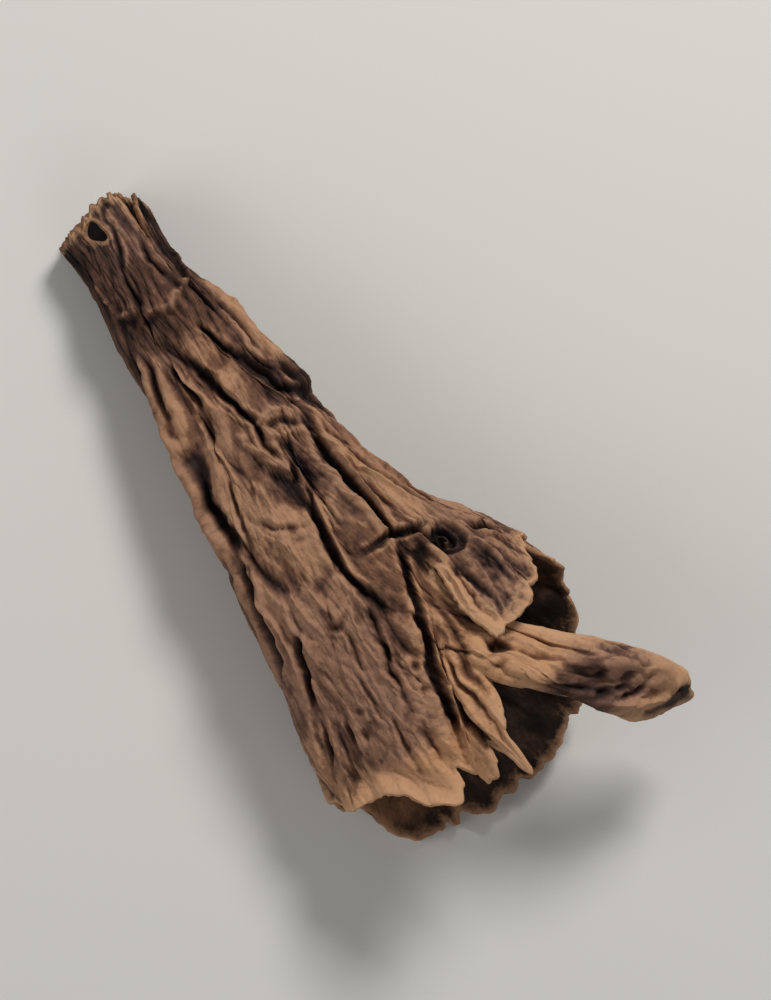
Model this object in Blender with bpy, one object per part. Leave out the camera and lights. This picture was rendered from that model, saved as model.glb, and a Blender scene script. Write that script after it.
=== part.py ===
"""One dried black trumpet mushroom, lying on its side.

The fruit body is a single hollow piece: a flattened, torn-off stem that widens into a fluted
trumpet with a lobed, curled margin. One split runs back from the margin, and the flap on one
side of it overlies the wing on the other. X runs from the torn stem end towards the mouth, Y
across the flattened trumpet, and Z up from the surface that it lies on.

The wall is a sheet with one row of points for each distance from the stem and one column for
each angle round the trumpet. Angles are in degrees, anticlockwise seen from the stem end: 0 is
the +Y flank and 90 the upper side. The columns start and end at the split.
"""

import math

import bpy
import numpy as np

MM = 0.001

# The wall's thickness, and how far it thins towards the margin
WALL = 0.80 * MM
MARGIN_WALL = 0.72 * MM
THINNING = 5.0 * MM

# The grid's columns: runs of angles and how many columns each has, closest on the wing. Its rows
# are close together at the torn end, then even to the split and to the margin.
COLUMN_RUNS = (
    (56, 86, 11),
    (86, 172, 25),
    (172, 340, 30),
    (340, 416, 22),
)
COLUMNS = sum(run[2] for run in COLUMN_RUNS)
STEM_ROWS = 6
BODY_ROWS = 11
MOUTH_ROWS = 12
ROWS = STEM_ROWS + BODY_ROWS + MOUTH_ROWS
STEM_END = 3.4 * MM
FINE_STEPS = 10

# The trumpet's meridian: a narrow stem, a steady widening, and a flare of its own at each angle
STEM_HALF_WIDTH = 2.55 * MM
WIDENING = math.radians(15.5)
WIDENING_FROM = 3.0 * MM
WIDENING_TO = 18.0 * MM
FLARE_LENGTH = 8.0 * MM

# How far the dried tube has flattened: its height over its width at the stem, body and mouth,
# and the shares of the axis where it reaches and leaves the body's and reaches the mouth's
STEM_FLATNESS = 0.60
BODY_FLATNESS = 0.58
MOUTH_FLATNESS = 0.52
BODY_FROM = 0.40
BODY_TO = 0.45
MOUTH_FROM = 0.95

# The axis bows sideways and rises, arched, from the stem to the mouth
LENGTH = 33.5 * MM
SIDE_BOW = -0.9 * MM
ARCH = 0.6 * MM
MOUTH_LIFT = 3.0 * MM

# The split: where it starts, and how far from there its two sides have fully parted
SPLIT_ANGLE = 56
SPLIT_START = 22.2 * MM
GAP = math.radians(2.2)
GAP_LENGTH = 1.4 * MM
STEP_LENGTH = 3.2 * MM

# The flap, on the side where the columns end, has risen and turned over the wing
FLAP_ANGLE = math.radians(34)
FLAP_RISE = 1.7 * MM
FLAP_TURN = math.radians(13)
FLAP_TURN_FROM = 1.2 * MM
FLAP_TURN_TO = 4.5 * MM

# The wing, on the side where they start, has sunk, turned away and sagged at its edge
WING_ANGLE = math.radians(14)
WING_DROP = 0.8 * MM
WING_TURN = math.radians(-42)
WING_TURN_FROM = 1.5 * MM
WING_TURN_TO = 12.0 * MM
WING_SAG = 0.8 * MM
SAG_ANGLE = math.radians(20)
SAG_LENGTH = 4.5 * MM

# The wing's front bends down along a curved ridge: the ridge's distance from the stem at the
# wing's edge and next to the upper wall, the angles between which it changes and those between
# which the bend fades out, the bend's slope, and how far past the ridge it is reached
RIDGE_AT_EDGE = 34.2 * MM
RIDGE_AT_WALL = 30.2 * MM
RIDGE_FROM = 62
RIDGE_TO = 76
BEND_FADES_FROM = 78
BEND_FADES_TO = 88
BEND_SLOPE = 0.7
BEND_LENGTH = 2.4 * MM

# The lip: the angles between which the upper margin's curl starts, is full and ends, how far it
# curls up, and its length
LIP_ANGLES = (108, 120, 150, 164)
LIP_RISE = 0.5 * MM
LIP_LENGTH = 1.6 * MM

# The margin: an angle, the length of the meridian there, and its end's flare in degrees
MARGIN = (
    (56, 33.4 * MM, 31),
    (61, 34.9 * MM, 24),
    (66, 35.6 * MM, 18),
    (71, 36.4 * MM, 12),
    (75, 34.8 * MM, 8),
    (82, 31.0 * MM, 6),
    (88, 33.7 * MM, 4),
    (98, 33.2 * MM, 6),
    (106, 32.2 * MM, 6),
    (112, 33.2 * MM, 6),
    (121, 30.9 * MM, 4),
    (132, 30.1 * MM, 2),
    (146, 30.4 * MM, 6),
    (166, 28.6 * MM, 4),
    (184, 27.4 * MM, 2),
    (208, 30.6 * MM, 10),
    (226, 33.6 * MM, -2),
    (250, 34.4 * MM, -8),
    (276, 34.2 * MM, -6),
    (292, 33.2 * MM, -2),
    (316, 30.4 * MM, 14),
    (342, 28.0 * MM, 12),
    (365, 25.8 * MM, 8),
    (396, 27.2 * MM, 8),
    (416, 28.8 * MM, 6),
)

# The torn stem end: an angle and how much is missing there
TORN_END = (
    (0, 2.2 * MM),
    (24, 1.2 * MM),
    (42, 1.9 * MM),
    (62, 0.1 * MM),
    (90, 0.0 * MM),
    (120, 0.5 * MM),
    (180, 1.1 * MM),
    (230, 1.6 * MM),
    (290, 0.7 * MM),
    (330, 1.4 * MM),
    (360, 2.2 * MM),
)

# A hole through the upper wall of the stem, and how far round it the wall is drawn towards it
HOLE_FROM_STEM_END = 1.3 * MM
HOLE_ANGLE = 100
HOLE_RADIUS = 0.42 * MM
HOLE_REACH = 1.1 * MM
HOLE_PULL = 0.6

# Pleats, which deepen towards the margin: the angle where each starts, its angle at the margin,
# where it starts, its depth at the margin and its half width
PLEATS = (
    (44, 109, 16.0 * MM, 2.0 * MM, 0.85 * MM),
    (174, 188, 16.0 * MM, 0.9 * MM, 1.0 * MM),
    (250, 260, 11.5 * MM, 1.6 * MM, 1.5 * MM),
    (322, 318, 17.5 * MM, 1.2 * MM, 1.2 * MM),
)

# Creases, which fade out at both ends: the first and the last angle, where each starts and ends,
# its greatest depth and its half width. Those with a negative depth are raised folds.
CREASES = (
    (12, 8, 12.0 * MM, 22.0 * MM, -0.4 * MM, 1.4 * MM),
    (76, 34, 6.5 * MM, 14.0 * MM, 0.7 * MM, 0.55 * MM),
    (68, 98, 13.5 * MM, 23.5 * MM, 0.8 * MM, 0.6 * MM),
    (119, 120, 7.0 * MM, 16.0 * MM, 0.6 * MM, 0.5 * MM),
    (104, 84, 7.5 * MM, 13.5 * MM, 0.4 * MM, 0.5 * MM),
    (132, 152, 4.5 * MM, 21.0 * MM, -0.5 * MM, 0.6 * MM),
    (150, 164, 15.0 * MM, 25.5 * MM, 0.45 * MM, 0.7 * MM),
    (134, 158, 16.0 * MM, 29.5 * MM, -0.4 * MM, 0.6 * MM),
    (205, 214, 6.0 * MM, 24.0 * MM, 0.7 * MM, 0.9 * MM),
    (290, 282, 8.0 * MM, 27.0 * MM, 0.7 * MM, 0.9 * MM),
    (338, 342, 9.0 * MM, 24.0 * MM, 0.7 * MM, 1.0 * MM),
)

# Folds that rise along the body and end abruptly: the angle, the start, the end, the height, the
# half width and the length of the drop at the end
FOLDS = (
    (13, 4.0 * MM, 13.4 * MM, 0.9 * MM, 1.5 * MM, 1.8 * MM),
)

# Ribs from the stem to the margin: their number, their height from groove to crest, how sharp
# the grooves are, the height that counts as the wall's own face, and the shares of the height
# at the stem and at the margin
RIBS = 11
RIB_HEIGHT = 0.34 * MM
RIB_SHARPNESS = 0.6
RIB_FACE = 0.35
RIB_STEM_SHARE = 0.45
RIB_STEM_LENGTH = 9.0 * MM
RIB_MARGIN_SHARE = 0.2

# How the ribs wander along their length, and crowd together round the trumpet: waves round it,
# the size in radians and the phase
RIB_WANDER = 0.55
RIB_WANDER_LENGTH = 5.2 * MM
RIB_WANDER_TWIST = 2.0
RIB_CROWDING = (
    (1, 0.6, 0.0),
    (2, 0.6, 0.4),
    (3, 0.35, 1.9),
)

# It lies on three low spots, one at the stem's end and two under the mouth, each pressed flat
STEM_REST_TO = 6.0 * MM
MOUTH_REST_FROM = 20.0 * MM
REST_DEPTH = 0.22 * MM
REST_WALL = 0.66 * MM

COLOUR = (0.140, 0.075, 0.048, 1.0)
ROUGHNESS = 0.85


def smoothstep(low, high, value):
    """0 below low, 1 above high, and an S-shaped rise between them."""
    share = np.clip((value - low) / (high - low), 0.0, 1.0)
    return share * share * (3.0 - 2.0 * share)


def eased(angle, rows, column):
    """One column of a table by angle in degrees, with an S-shaped change from row to row."""
    knots = np.array([row[0] for row in rows])
    values = np.array([row[column] for row in rows])
    left = np.clip(np.searchsorted(knots, angle, side="right") - 1, 0, len(knots) - 2)
    share = smoothstep(knots[left], knots[left + 1], angle)
    return values[left] + (values[left + 1] - values[left]) * share


def reach(angle):
    """The meridian's length at each angle. The two sides of the split have their own values."""
    return eased(np.degrees(angle), MARGIN, 1)


def distances(angle, fine_steps):
    """Distance from the stem for each row, and for fine_steps - 1 more between any two rows."""
    row = np.linspace(0.0, ROWS, ROWS * fine_steps + 1)[:, None]
    torn = eased(np.degrees(angle) % 360.0, TORN_END, 1)
    in_stem = torn + (STEM_END - torn) * row / STEM_ROWS
    in_body = STEM_END + (SPLIT_START - STEM_END) * (row - STEM_ROWS) / BODY_ROWS
    split_row = STEM_ROWS + BODY_ROWS
    in_mouth = SPLIT_START + (reach(angle) - SPLIT_START) * (row - split_row) / MOUTH_ROWS
    return np.where(row <= STEM_ROWS, in_stem, np.where(row <= split_row, in_body, in_mouth))


def meridians(angle):
    """Distance from the stem, place along the axis and radius for every row and column.

    Each meridian's slope is the steady widening plus the flare of its end. Its axial place
    and radius are the running sums of the slope's cosine and sine.
    """
    along = distances(angle, FINE_STEPS)
    flare = np.radians(eased(np.degrees(angle), MARGIN, 2))
    bend = smoothstep(-FLARE_LENGTH, 0.0, along - reach(angle))
    slope = WIDENING * smoothstep(WIDENING_FROM, WIDENING_TO, along) + flare * bend
    step = np.diff(along, axis=0)
    middle = (slope[1:] + slope[:-1]) / 2
    start = np.zeros((1, angle.shape[-1]))
    axial = along[:1] + np.vstack([start, np.cumsum(np.cos(middle) * step, 0)])
    radius = STEM_HALF_WIDTH + np.vstack([start, np.cumsum(np.sin(middle) * step, 0)])
    keep = slice(None, None, FINE_STEPS)
    return along[keep], axial[keep], radius[keep]


def trough(radius, angle, first, last, share, half_width):
    """A trough 1 deep along a line whose angle changes evenly with the share of its length."""
    centre = np.radians(first + (last - first) * share)
    away = radius * np.sin((angle - centre) / 2) * 2 / half_width
    return np.exp(-0.5 * away**2)


def creased(along, radius, angle):
    """The radius with its pleats and creases pressed in and its folds raised."""
    inwards = np.zeros_like(radius)
    for first, last, start, depth, half_width in PLEATS:
        share = (along - start) / (LENGTH - start)
        line = trough(radius, angle, first, last, share, half_width)
        inwards += depth * smoothstep(0.0, 1.0, share) * line
    for first, last, start, end, depth, half_width in CREASES:
        share = np.clip((along - start) / (end - start), 0.0, 1.0)
        line = trough(radius, angle, first, last, share, half_width)
        inwards += depth * np.sin(math.pi * share) * line
    for centre, start, end, height, half_width, drop in FOLDS:
        rise = smoothstep(start, end - drop, along) * (1 - smoothstep(end - drop, end, along))
        inwards -= height * rise * trough(radius, angle, centre, centre, 0.0, half_width)
    return radius - inwards


def parted(along, radius, angle):
    """Radius and angle with the flap raised on one side of the split and the wing turned under.

    The wing's edge is where the columns start and the flap's is where they end. Both have
    moved a little apart before the wing turns.
    """
    from_wing = angle - math.radians(SPLIT_ANGLE)
    from_flap = math.radians(SPLIT_ANGLE + 360) - angle
    past = along - SPLIT_START
    stepped = smoothstep(0.0, STEP_LENGTH, past)
    wing = np.exp(-((from_wing / WING_ANGLE) ** 2))
    flap = np.exp(-((from_flap / FLAP_ANGLE) ** 2))
    radius = radius + (FLAP_RISE * flap - WING_DROP * wing) * stepped
    gap = GAP * smoothstep(0.0, GAP_LENGTH, past)
    wing_turn = WING_TURN * smoothstep(WING_TURN_FROM, WING_TURN_TO, past)
    flap_turn = FLAP_TURN * smoothstep(FLAP_TURN_FROM, FLAP_TURN_TO, past)
    return radius, angle + (wing_turn + gap) * wing + (flap_turn - gap) * flap


def column_angles():
    """The angle of each column in radians, from the split round to it again."""
    runs = [np.linspace(first, last, count + 1)[:-1] for first, last, count in COLUMN_RUNS]
    return np.radians(np.concatenate([*runs, [SPLIT_ANGLE + 360]]))[None, :]


def bent(along, angle):
    """Height that the curled lip gains and the wing's front loses past its ridge."""
    degrees = np.degrees(angle)
    across = smoothstep(RIDGE_FROM, RIDGE_TO, degrees)
    past = along - (RIDGE_AT_EDGE + (RIDGE_AT_WALL - RIDGE_AT_EDGE) * across)
    down = BEND_SLOPE * np.maximum(past, 0.0) * smoothstep(0.0, BEND_LENGTH, past)
    down *= 1 - smoothstep(BEND_FADES_FROM, BEND_FADES_TO, degrees)
    first, second, third, fourth = LIP_ANGLES
    lip = smoothstep(first, second, degrees) * (1 - smoothstep(third, fourth, degrees))
    return LIP_RISE * lip * smoothstep(-LIP_LENGTH, 0.0, along - reach(angle)) ** 2 - down


def sheet():
    """Points of the wall's middle, row by row, with each one's distance and angle."""
    start = math.radians(SPLIT_ANGLE)
    angle = column_angles()
    sag = np.exp(-(((angle - start) / SAG_ANGLE) ** 2))
    along, axial, radius = meridians(angle)
    radius = creased(along, radius, angle)
    radius, turned = parted(along, radius, np.broadcast_to(angle, along.shape))
    share = axial / LENGTH
    flatness = STEM_FLATNESS + (BODY_FLATNESS - STEM_FLATNESS) * smoothstep(0, BODY_FROM, share)
    flatness += (MOUTH_FLATNESS - BODY_FLATNESS) * smoothstep(BODY_TO, MOUTH_FROM, share)
    bow = np.sin(math.pi * np.clip(share, 0.0, 1.0))
    across = radius * np.cos(turned) + SIDE_BOW * bow
    up = radius * flatness * np.sin(turned) + MOUTH_LIFT * share + ARCH * bow
    up -= WING_SAG * sag * smoothstep(-SAG_LENGTH, 0.0, along - reach(angle)) ** 2
    up += bent(along, angle)
    return np.stack([axial, across, up], -1), along, angle


def sheet_triangles():
    """Triangles of the sheet, closed round the trumpet up to the split and open beyond it."""
    width = COLUMNS + 1
    row, column = np.meshgrid(np.arange(ROWS), np.arange(COLUMNS), indexing="ij")
    a = row * width + column
    b, c, d = a + 1, a + width, a + width + 1
    triangles = np.stack([a, b, d, a, d, c], -1).reshape(-1, 3)
    seam = np.arange(STEM_ROWS + BODY_ROWS + 1) * width + COLUMNS
    triangles[np.isin(triangles, seam)] -= COLUMNS
    return triangles


def pierced(points, triangles, along, angle):
    """The sheet with a hole in it: the cells left, with those around it drawn in to its edge."""
    across = STEM_HALF_WIDTH * (angle - math.radians(HOLE_ANGLE))
    centre = points[np.hypot(along - HOLE_FROM_STEM_END, across).argmin()]
    offset = points - centre
    distance = np.linalg.norm(offset, axis=1)
    cells = triangles.reshape(-1, 6)
    kept = cells[(distance[cells] >= HOLE_RADIUS).all(1)]
    pull = HOLE_PULL * (1 - smoothstep(HOLE_RADIUS, HOLE_REACH, distance))
    drawn = 1 - pull * (1 - HOLE_RADIUS / np.maximum(distance, HOLE_RADIUS))
    return centre + offset * drawn[:, None], kept.reshape(-1, 3)


def ribs(along, angle):
    """Height of the ribs on the outside: broad crests with narrow grooves between them."""
    twist = RIB_WANDER_TWIST * np.sin(angle)
    turns = RIBS * angle + RIB_WANDER * np.sin(along / RIB_WANDER_LENGTH + twist)
    for waves, size, phase in RIB_CROWDING:
        turns = turns + size * np.sin(waves * angle + phase)
    crest = np.abs(np.sin(turns / 2)) ** RIB_SHARPNESS
    stem = 1 - (1 - RIB_STEM_SHARE) * (1 - smoothstep(0.0, RIB_STEM_LENGTH, along))
    margin = 1 - (1 - RIB_MARGIN_SHARE) * smoothstep(-THINNING, 0.0, along - reach(angle))
    return RIB_HEIGHT * stem * margin * (crest - RIB_FACE)


def normals(points, triangles):
    """Unit normals of the sheet's points, pointing out of the trumpet."""
    a, b, c = (points[triangles[:, corner]] for corner in range(3))
    facing = np.cross(b - a, c - a)
    total = np.zeros_like(points)
    for corner in range(3):
        np.add.at(total, triangles[:, corner], facing)
    return total / np.maximum(np.linalg.norm(total, axis=1, keepdims=True), 1e-12)


def border(triangles, count):
    """The directed edges that only one triangle uses."""
    edges = np.vstack([triangles[:, [0, 1]], triangles[:, [1, 2]], triangles[:, [2, 0]]])
    code = edges[:, 0] * count + edges[:, 1]
    reverse = edges[:, 1] * count + edges[:, 0]
    return edges[~np.isin(reverse, code)]


def lowest(points, chosen):
    """The lowest of the chosen points."""
    return points[np.flatnonzero(chosen)[points[chosen, 2].argmin()]]


def laid_down(points, inner):
    """The points tipped onto their three low spots, flattened there, and centred in X and Y."""
    near_mouth = points[:, 0] > MOUTH_REST_FROM
    axis = SIDE_BOW / 2
    spots = np.array([
        lowest(points, points[:, 0] < STEM_REST_TO),
        lowest(points, near_mouth & (points[:, 1] > axis)),
        lowest(points, near_mouth & (points[:, 1] < axis)),
    ])
    plane = np.linalg.solve(np.column_stack([spots[:, :2], np.ones(3)]), spots[:, 2])
    points[:, 2] -= points[:, :2] @ plane[:2] + plane[2]
    floor = np.where(inner, REST_WALL, 0.0)
    points[:, 2] = np.maximum(points[:, 2] - points[:, 2].min() - REST_DEPTH, floor)
    points[:, :2] -= (points[:, :2].min(0) + points[:, :2].max(0)) / 2
    return points


def trumpet_mesh():
    """The closed mesh of the whole fruit body."""
    grid, along, angle = sheet()
    points, triangles = pierced(grid.reshape(-1, 3), sheet_triangles(), along, angle)
    count = len(points)
    normal = normals(points, triangles)
    edge = smoothstep(-THINNING, 0.0, along - reach(angle))
    half = ((WALL + (MARGIN_WALL - WALL) * edge) / 2).reshape(-1, 1)
    relief = ribs(along, angle).reshape(-1, 1)
    outer = points + normal * (half + relief)
    inner = points - normal * half
    rim = border(triangles, count)
    first, second = rim[:, 0], rim[:, 1]
    closing = np.stack([second, first, first + count, second, first + count, second + count], -1)
    faces = np.vstack([triangles, triangles[:, ::-1] + count, closing.reshape(-1, 3)])
    points = laid_down(np.vstack([outer, inner]), np.arange(2 * count) >= count)
    used = np.unique(faces)
    faces = np.searchsorted(used, faces)
    points = points[used]
    mesh = bpy.data.meshes.new("trumpet")
    mesh.from_pydata(points.tolist(), [], faces.tolist())
    mesh.update()
    mesh.shade_smooth()
    return mesh


def skin_material():
    """The dried flesh: dull dark brown."""
    material = bpy.data.materials.new("dried_flesh")
    material.use_nodes = True
    shader = material.node_tree.nodes["Principled BSDF"]
    shader.inputs["Base Color"].default_value = COLOUR
    shader.inputs["Roughness"].default_value = ROUGHNESS
    shader.inputs["Metallic"].default_value = 0.0
    return material


def build():
    """Clears the scene and adds the mushroom."""
    for item in list(bpy.data.objects):
        bpy.data.objects.remove(item)
    mushroom = bpy.data.objects.new("fruit_body", trumpet_mesh())
    mushroom.data.materials.append(skin_material())
    bpy.context.scene.collection.objects.link(mushroom)


build()
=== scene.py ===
"""One dried black trumpet mushroom, lying on its side on a pale surface.

The fruit body is one thin sheet of flesh, rolled into a flattened trumpet and dried. It is worked
out in millimetres on a grid: a row for each distance from the torn stem end, a column for each
angle round the trumpet. Angles are in degrees, anticlockwise seen from the stem end: 0 is the +Y
flank and 90 the upper side. The columns start and end at the split, at 56 and 416 degrees.
"""

from __future__ import annotations

import logging
import math
from dataclasses import dataclass, field, fields, replace
from enum import Enum
from typing import Any, Optional

import bpy
import numpy as np
from mathutils import Matrix, Vector


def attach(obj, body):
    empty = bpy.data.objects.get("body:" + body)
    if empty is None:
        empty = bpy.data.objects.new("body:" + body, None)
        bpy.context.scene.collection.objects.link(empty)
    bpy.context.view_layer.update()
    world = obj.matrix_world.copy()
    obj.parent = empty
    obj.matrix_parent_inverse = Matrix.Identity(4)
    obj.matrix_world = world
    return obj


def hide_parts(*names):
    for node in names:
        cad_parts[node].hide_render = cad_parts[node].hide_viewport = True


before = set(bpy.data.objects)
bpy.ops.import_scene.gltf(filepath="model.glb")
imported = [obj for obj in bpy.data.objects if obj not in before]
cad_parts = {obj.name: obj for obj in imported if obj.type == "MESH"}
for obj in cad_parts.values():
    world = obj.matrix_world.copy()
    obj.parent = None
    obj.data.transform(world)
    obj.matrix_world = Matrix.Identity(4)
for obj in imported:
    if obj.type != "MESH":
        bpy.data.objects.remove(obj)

Array = np.ndarray
Knots = tuple[tuple[float, ...], ...]
Colour = tuple[float, float, float, float]

MM = 0.001
TINY = 1e-12
WAVE_COUNT = 14
NOISE_PERIOD = 256
NOISE_GAIN = 1.8
NODE = "fruit_body"
BODY = "root"

log = logging.getLogger("black_trumpet")


def smoothstep(low: float, high: float, value: Array) -> Array:
    """Rises in an S from 0 at low to 1 at high: 3t^2 - 2t^3, where t is the share of the way.

    Args:
        low: The value where the rise starts.
        high: The value where it ends.
        value: Where it is wanted.

    Returns:
        The height of the rise, from 0 to 1.
    """
    share = np.clip((value - low) / (high - low), 0.0, 1.0)
    return share * share * (3.0 - 2.0 * share)


def between(ends: tuple[float, float, float, float], value: Array) -> Array:
    """1 between the two middle ends, 0 outside the outer two, with an S-shaped change between."""
    return smoothstep(ends[0], ends[1], value) * (1 - smoothstep(ends[2], ends[3], value))


def eased(angle: Array, rows: Knots, column: int) -> Array:
    """One column of a table by angle, with an S-shaped change from row to row.

    Args:
        angle: Angles in degrees.
        rows: Rows that start with an angle, in rising order.
        column: Which value of the rows is wanted.

    Returns:
        The value at each angle.
    """
    knots = np.array([row[0] for row in rows])
    values = np.array([row[column] for row in rows])
    left = np.clip(np.searchsorted(knots, angle, side="right") - 1, 0, len(knots) - 2)
    share = smoothstep(knots[left], knots[left + 1], angle)
    return values[left] + (values[left + 1] - values[left]) * share


def uneven(place: Array, shortest: float, longest: float, seed: int) -> Array:
    """An irregular curve: the mean of sine waves of random phase, the long ones the higher.

    Args:
        place: Where along the line, in millimetres.
        shortest: The shortest wave's length.
        longest: The longest wave's length.
        seed: Chooses the curve.

    Returns:
        Heights that mostly lie between -1 and 1.
    """
    rng = np.random.default_rng(seed)
    lengths = np.geomspace(shortest, longest, WAVE_COUNT)
    phases = rng.uniform(0.0, 2 * math.pi, lengths.size)
    heights = np.sqrt(lengths / longest)
    total = np.zeros_like(place, dtype=float)
    for length, phase, height in zip(lengths, phases, heights):
        total += height * np.sin(2 * math.pi * place / length + phase)
    return total / math.sqrt(float((heights**2).sum()))


def turned_from(angle: Array, degrees: float) -> Array:
    """How far angles in radians are from one in degrees, the shorter way round, in radians."""
    return np.mod(angle - math.radians(degrees) + math.pi, 2 * math.pi) - math.pi


def spots(along: Array, radius: Array, angle: Array, rows: Knots, column: int) -> Array:
    """Sum of Gaussian spots on the sheet, each times its value in one column of a table.

    Args:
        along: Distance from the stem.
        radius: Radius.
        angle: Angle in radians.
        rows: Rows of an angle in degrees, a distance, a half width, a half length and values.
        column: Which value of the rows is wanted.

    Returns:
        The sum at each point.
    """
    total = np.zeros(np.broadcast(along, angle).shape)
    for row in rows:
        degrees, place, half_width, half_length = row[:4]
        across = radius * turned_from(angle, degrees) / half_width
        down = (along - place) / half_length
        total += row[column] * np.exp(-0.5 * (across**2 + down**2))
    return total


@dataclass(frozen=True)
class Sheet:
    """The middle of the wall on its grid, in millimetres, with what each point carries.

    Attributes:
        points: Places, row by row and column by column.
        along: Distance from the stem along the sheet.
        angle: Angle round the trumpet in radians.
        radius: Radius of the undented trumpet.
        reach: Distance from the stem to the margin at the point's angle.
        split_row: The row where the split starts.
    """

    points: Array
    along: Array
    angle: Array
    radius: Array
    reach: Array
    split_row: int

    @property
    def flesh(self) -> Array:
        """Places on the unpressed, unsplit trumpet, where the grain of the flesh is straight."""
        across = self.radius * np.cos(self.angle)
        up = self.radius * np.sin(self.angle)
        return np.stack([across, up, self.along], -1)

    def cells(self, first: int, last: int) -> Array:
        """The grid's squares from one column to another, closed over the seam up to the split.

        Args:
            first: The column that they start at.
            last: The column that they end at.

        Returns:
            Four point numbers for each square, anticlockwise seen from outside.
        """
        rows, width = self.along.shape
        row, column = np.meshgrid(np.arange(rows - 1), np.arange(first, last), indexing="ij")
        a = row * width + column
        squares = np.stack([a, a + 1, a + width + 1, a + width], -1).reshape(-1, 4)
        seam = np.arange(self.split_row + 1) * width + width - 1
        squares[np.isin(squares, seam)] -= width - 1
        return squares


@dataclass(frozen=True)
class Split:
    """The split from the margin, with a raised flap on one side and a sunk wing on the other.

    Lengths are in millimetres and angles in degrees. Both sides move by a Gaussian of their
    angle from the split, times a smooth rise with distance past the split's start.

    Attributes:
        angle: Where it is.
        start: Its distance from the stem.
        gap: How far apart its sides are, and the length over which they part.
        step: Length over which the flap rises and the wing sinks.
        flap: The flap's spread, how far it rises, and how far it turns over the wing.
        flap_turn: Between which distances past the start it turns.
        wing: The wing's spread, how far it sinks, and how far it turns away.
        wing_turn: Between which distances past the start it turns.
        sag: How far the wing's edge sags, its spread and its length.
        waist: How far the wing's edge turns in at its waist, its spread, place and length.
    """

    angle: float = 56.0
    start: float = 22.2
    gap: tuple[float, float] = (1.0, 1.4)
    step: float = 3.2
    flap: tuple[float, float, float] = (34.0, 0.12, 11.0)
    flap_turn: tuple[float, float] = (-0.2, 3.8)
    wing: tuple[float, float, float] = (14.0, 1.2, -43.0)
    wing_turn: tuple[float, float] = (1.5, 12.0)
    sag: tuple[float, float, float] = (0.8, 20.0, 4.5)
    waist: tuple[float, float, float, float] = (4.0, 7.0, 28.6, 2.8)

    def parted(self, along: Array, radius: Array, angle: Array) -> tuple[Array, Array]:
        """Raises the flap and turns the wing under.

        Args:
            along: Distance from the stem on the grid.
            radius: Radius on the grid.
            angle: Angle on the grid, in radians.

        Returns:
            The moved radius and angle.
        """
        past = along - self.start
        degrees = np.degrees(angle) - self.angle
        wing_spread, drop, wing_turn = self.wing
        flap_spread, rise, flap_turn = self.flap
        wing = np.exp(-((degrees / wing_spread) ** 2))
        flap = np.exp(-(((360.0 - degrees) / flap_spread) ** 2))
        radius = radius + (rise * flap - drop * wing) * smoothstep(0.0, self.step, past)
        gap = self.gap[0] * smoothstep(0.0, self.gap[1], past)
        turn = (wing_turn * smoothstep(*self.wing_turn, past) + gap) * wing
        waist_turn, waist_spread, place, length = self.waist
        off = (degrees / waist_spread) ** 2
        turn += waist_turn * np.exp(-off - ((along - place) / length) ** 2)
        turn += (flap_turn * smoothstep(*self.flap_turn, past) - gap) * flap
        return radius, angle + np.radians(turn)

    def sagged(self, to_margin: Array, angle: Array) -> Array:
        """How far the wing's edge has sagged, as the square of a smooth rise to the margin."""
        sag, spread, length = self.sag
        share = np.exp(-(((np.degrees(angle) - self.angle) / spread) ** 2))
        return sag * share * smoothstep(-length, 0.0, to_margin) ** 2


@dataclass(frozen=True)
class Bend:
    """The wing's front, bent down past a curved ridge, and the upper margin's curled lip.

    Attributes:
        ridge: The ridge's distance from the stem at the wing's edge and next to the upper wall.
        ridge_angles: Between which angles that distance changes.
        fades: Between which angles the bend fades out.
        slope: Fall for each millimetre past the ridge.
        length: How far past the ridge the slope is reached.
        lip_angles: Where the lip starts, is full, ends being full and ends.
        lip_rise: How far it curls up.
        lip_length: Its length.
        lip_dip: Depth of the dip behind the lip, its place over the lip's length and how
            narrow it is.
        hem: Width of the wing's turned-down hem, and how far it is turned down.
    """

    ridge: tuple[float, float] = (32.2, 30.0)
    ridge_angles: tuple[float, float] = (60.0, 68.0)
    fades: tuple[float, float] = (77.0, 84.0)
    slope: float = 0.70
    length: float = 1.3
    lip_angles: tuple[float, float, float, float] = (108.0, 118.0, 150.0, 162.0)
    lip_rise: float = 0.62
    lip_length: float = 1.5
    lip_dip: tuple[float, float, float] = (0.16, 1.1, 4.0)
    hem: tuple[float, float] = (0.9, 0.85)

    def height(self, along: Array, to_margin: Array, angle: Array) -> Array:
        """Height that the curled lip gains and the wing's front loses past its ridge.

        Args:
            along: Distance from the stem.
            to_margin: Distance from the margin, negative.
            angle: Angle in radians.

        Returns:
            Heights in millimetres.
        """
        degrees = np.degrees(angle)
        share = smoothstep(*self.ridge_angles, degrees)
        past = along - (self.ridge[0] + (self.ridge[1] - self.ridge[0]) * share)
        down = self.slope * np.maximum(past, 0.0) * smoothstep(0.0, self.length, past)
        down += self.hem[1] * smoothstep(-self.hem[0], 0.0, to_margin) ** 2
        down *= 1 - smoothstep(*self.fades, degrees)
        curl = self.lip_rise * smoothstep(-self.lip_length, 0.0, to_margin) ** 2
        depth, place, narrow = self.lip_dip
        dip = depth * np.exp(-((to_margin / self.lip_length + place) ** 2) * narrow)
        return (curl - dip) * between(self.lip_angles, degrees) - down


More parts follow.
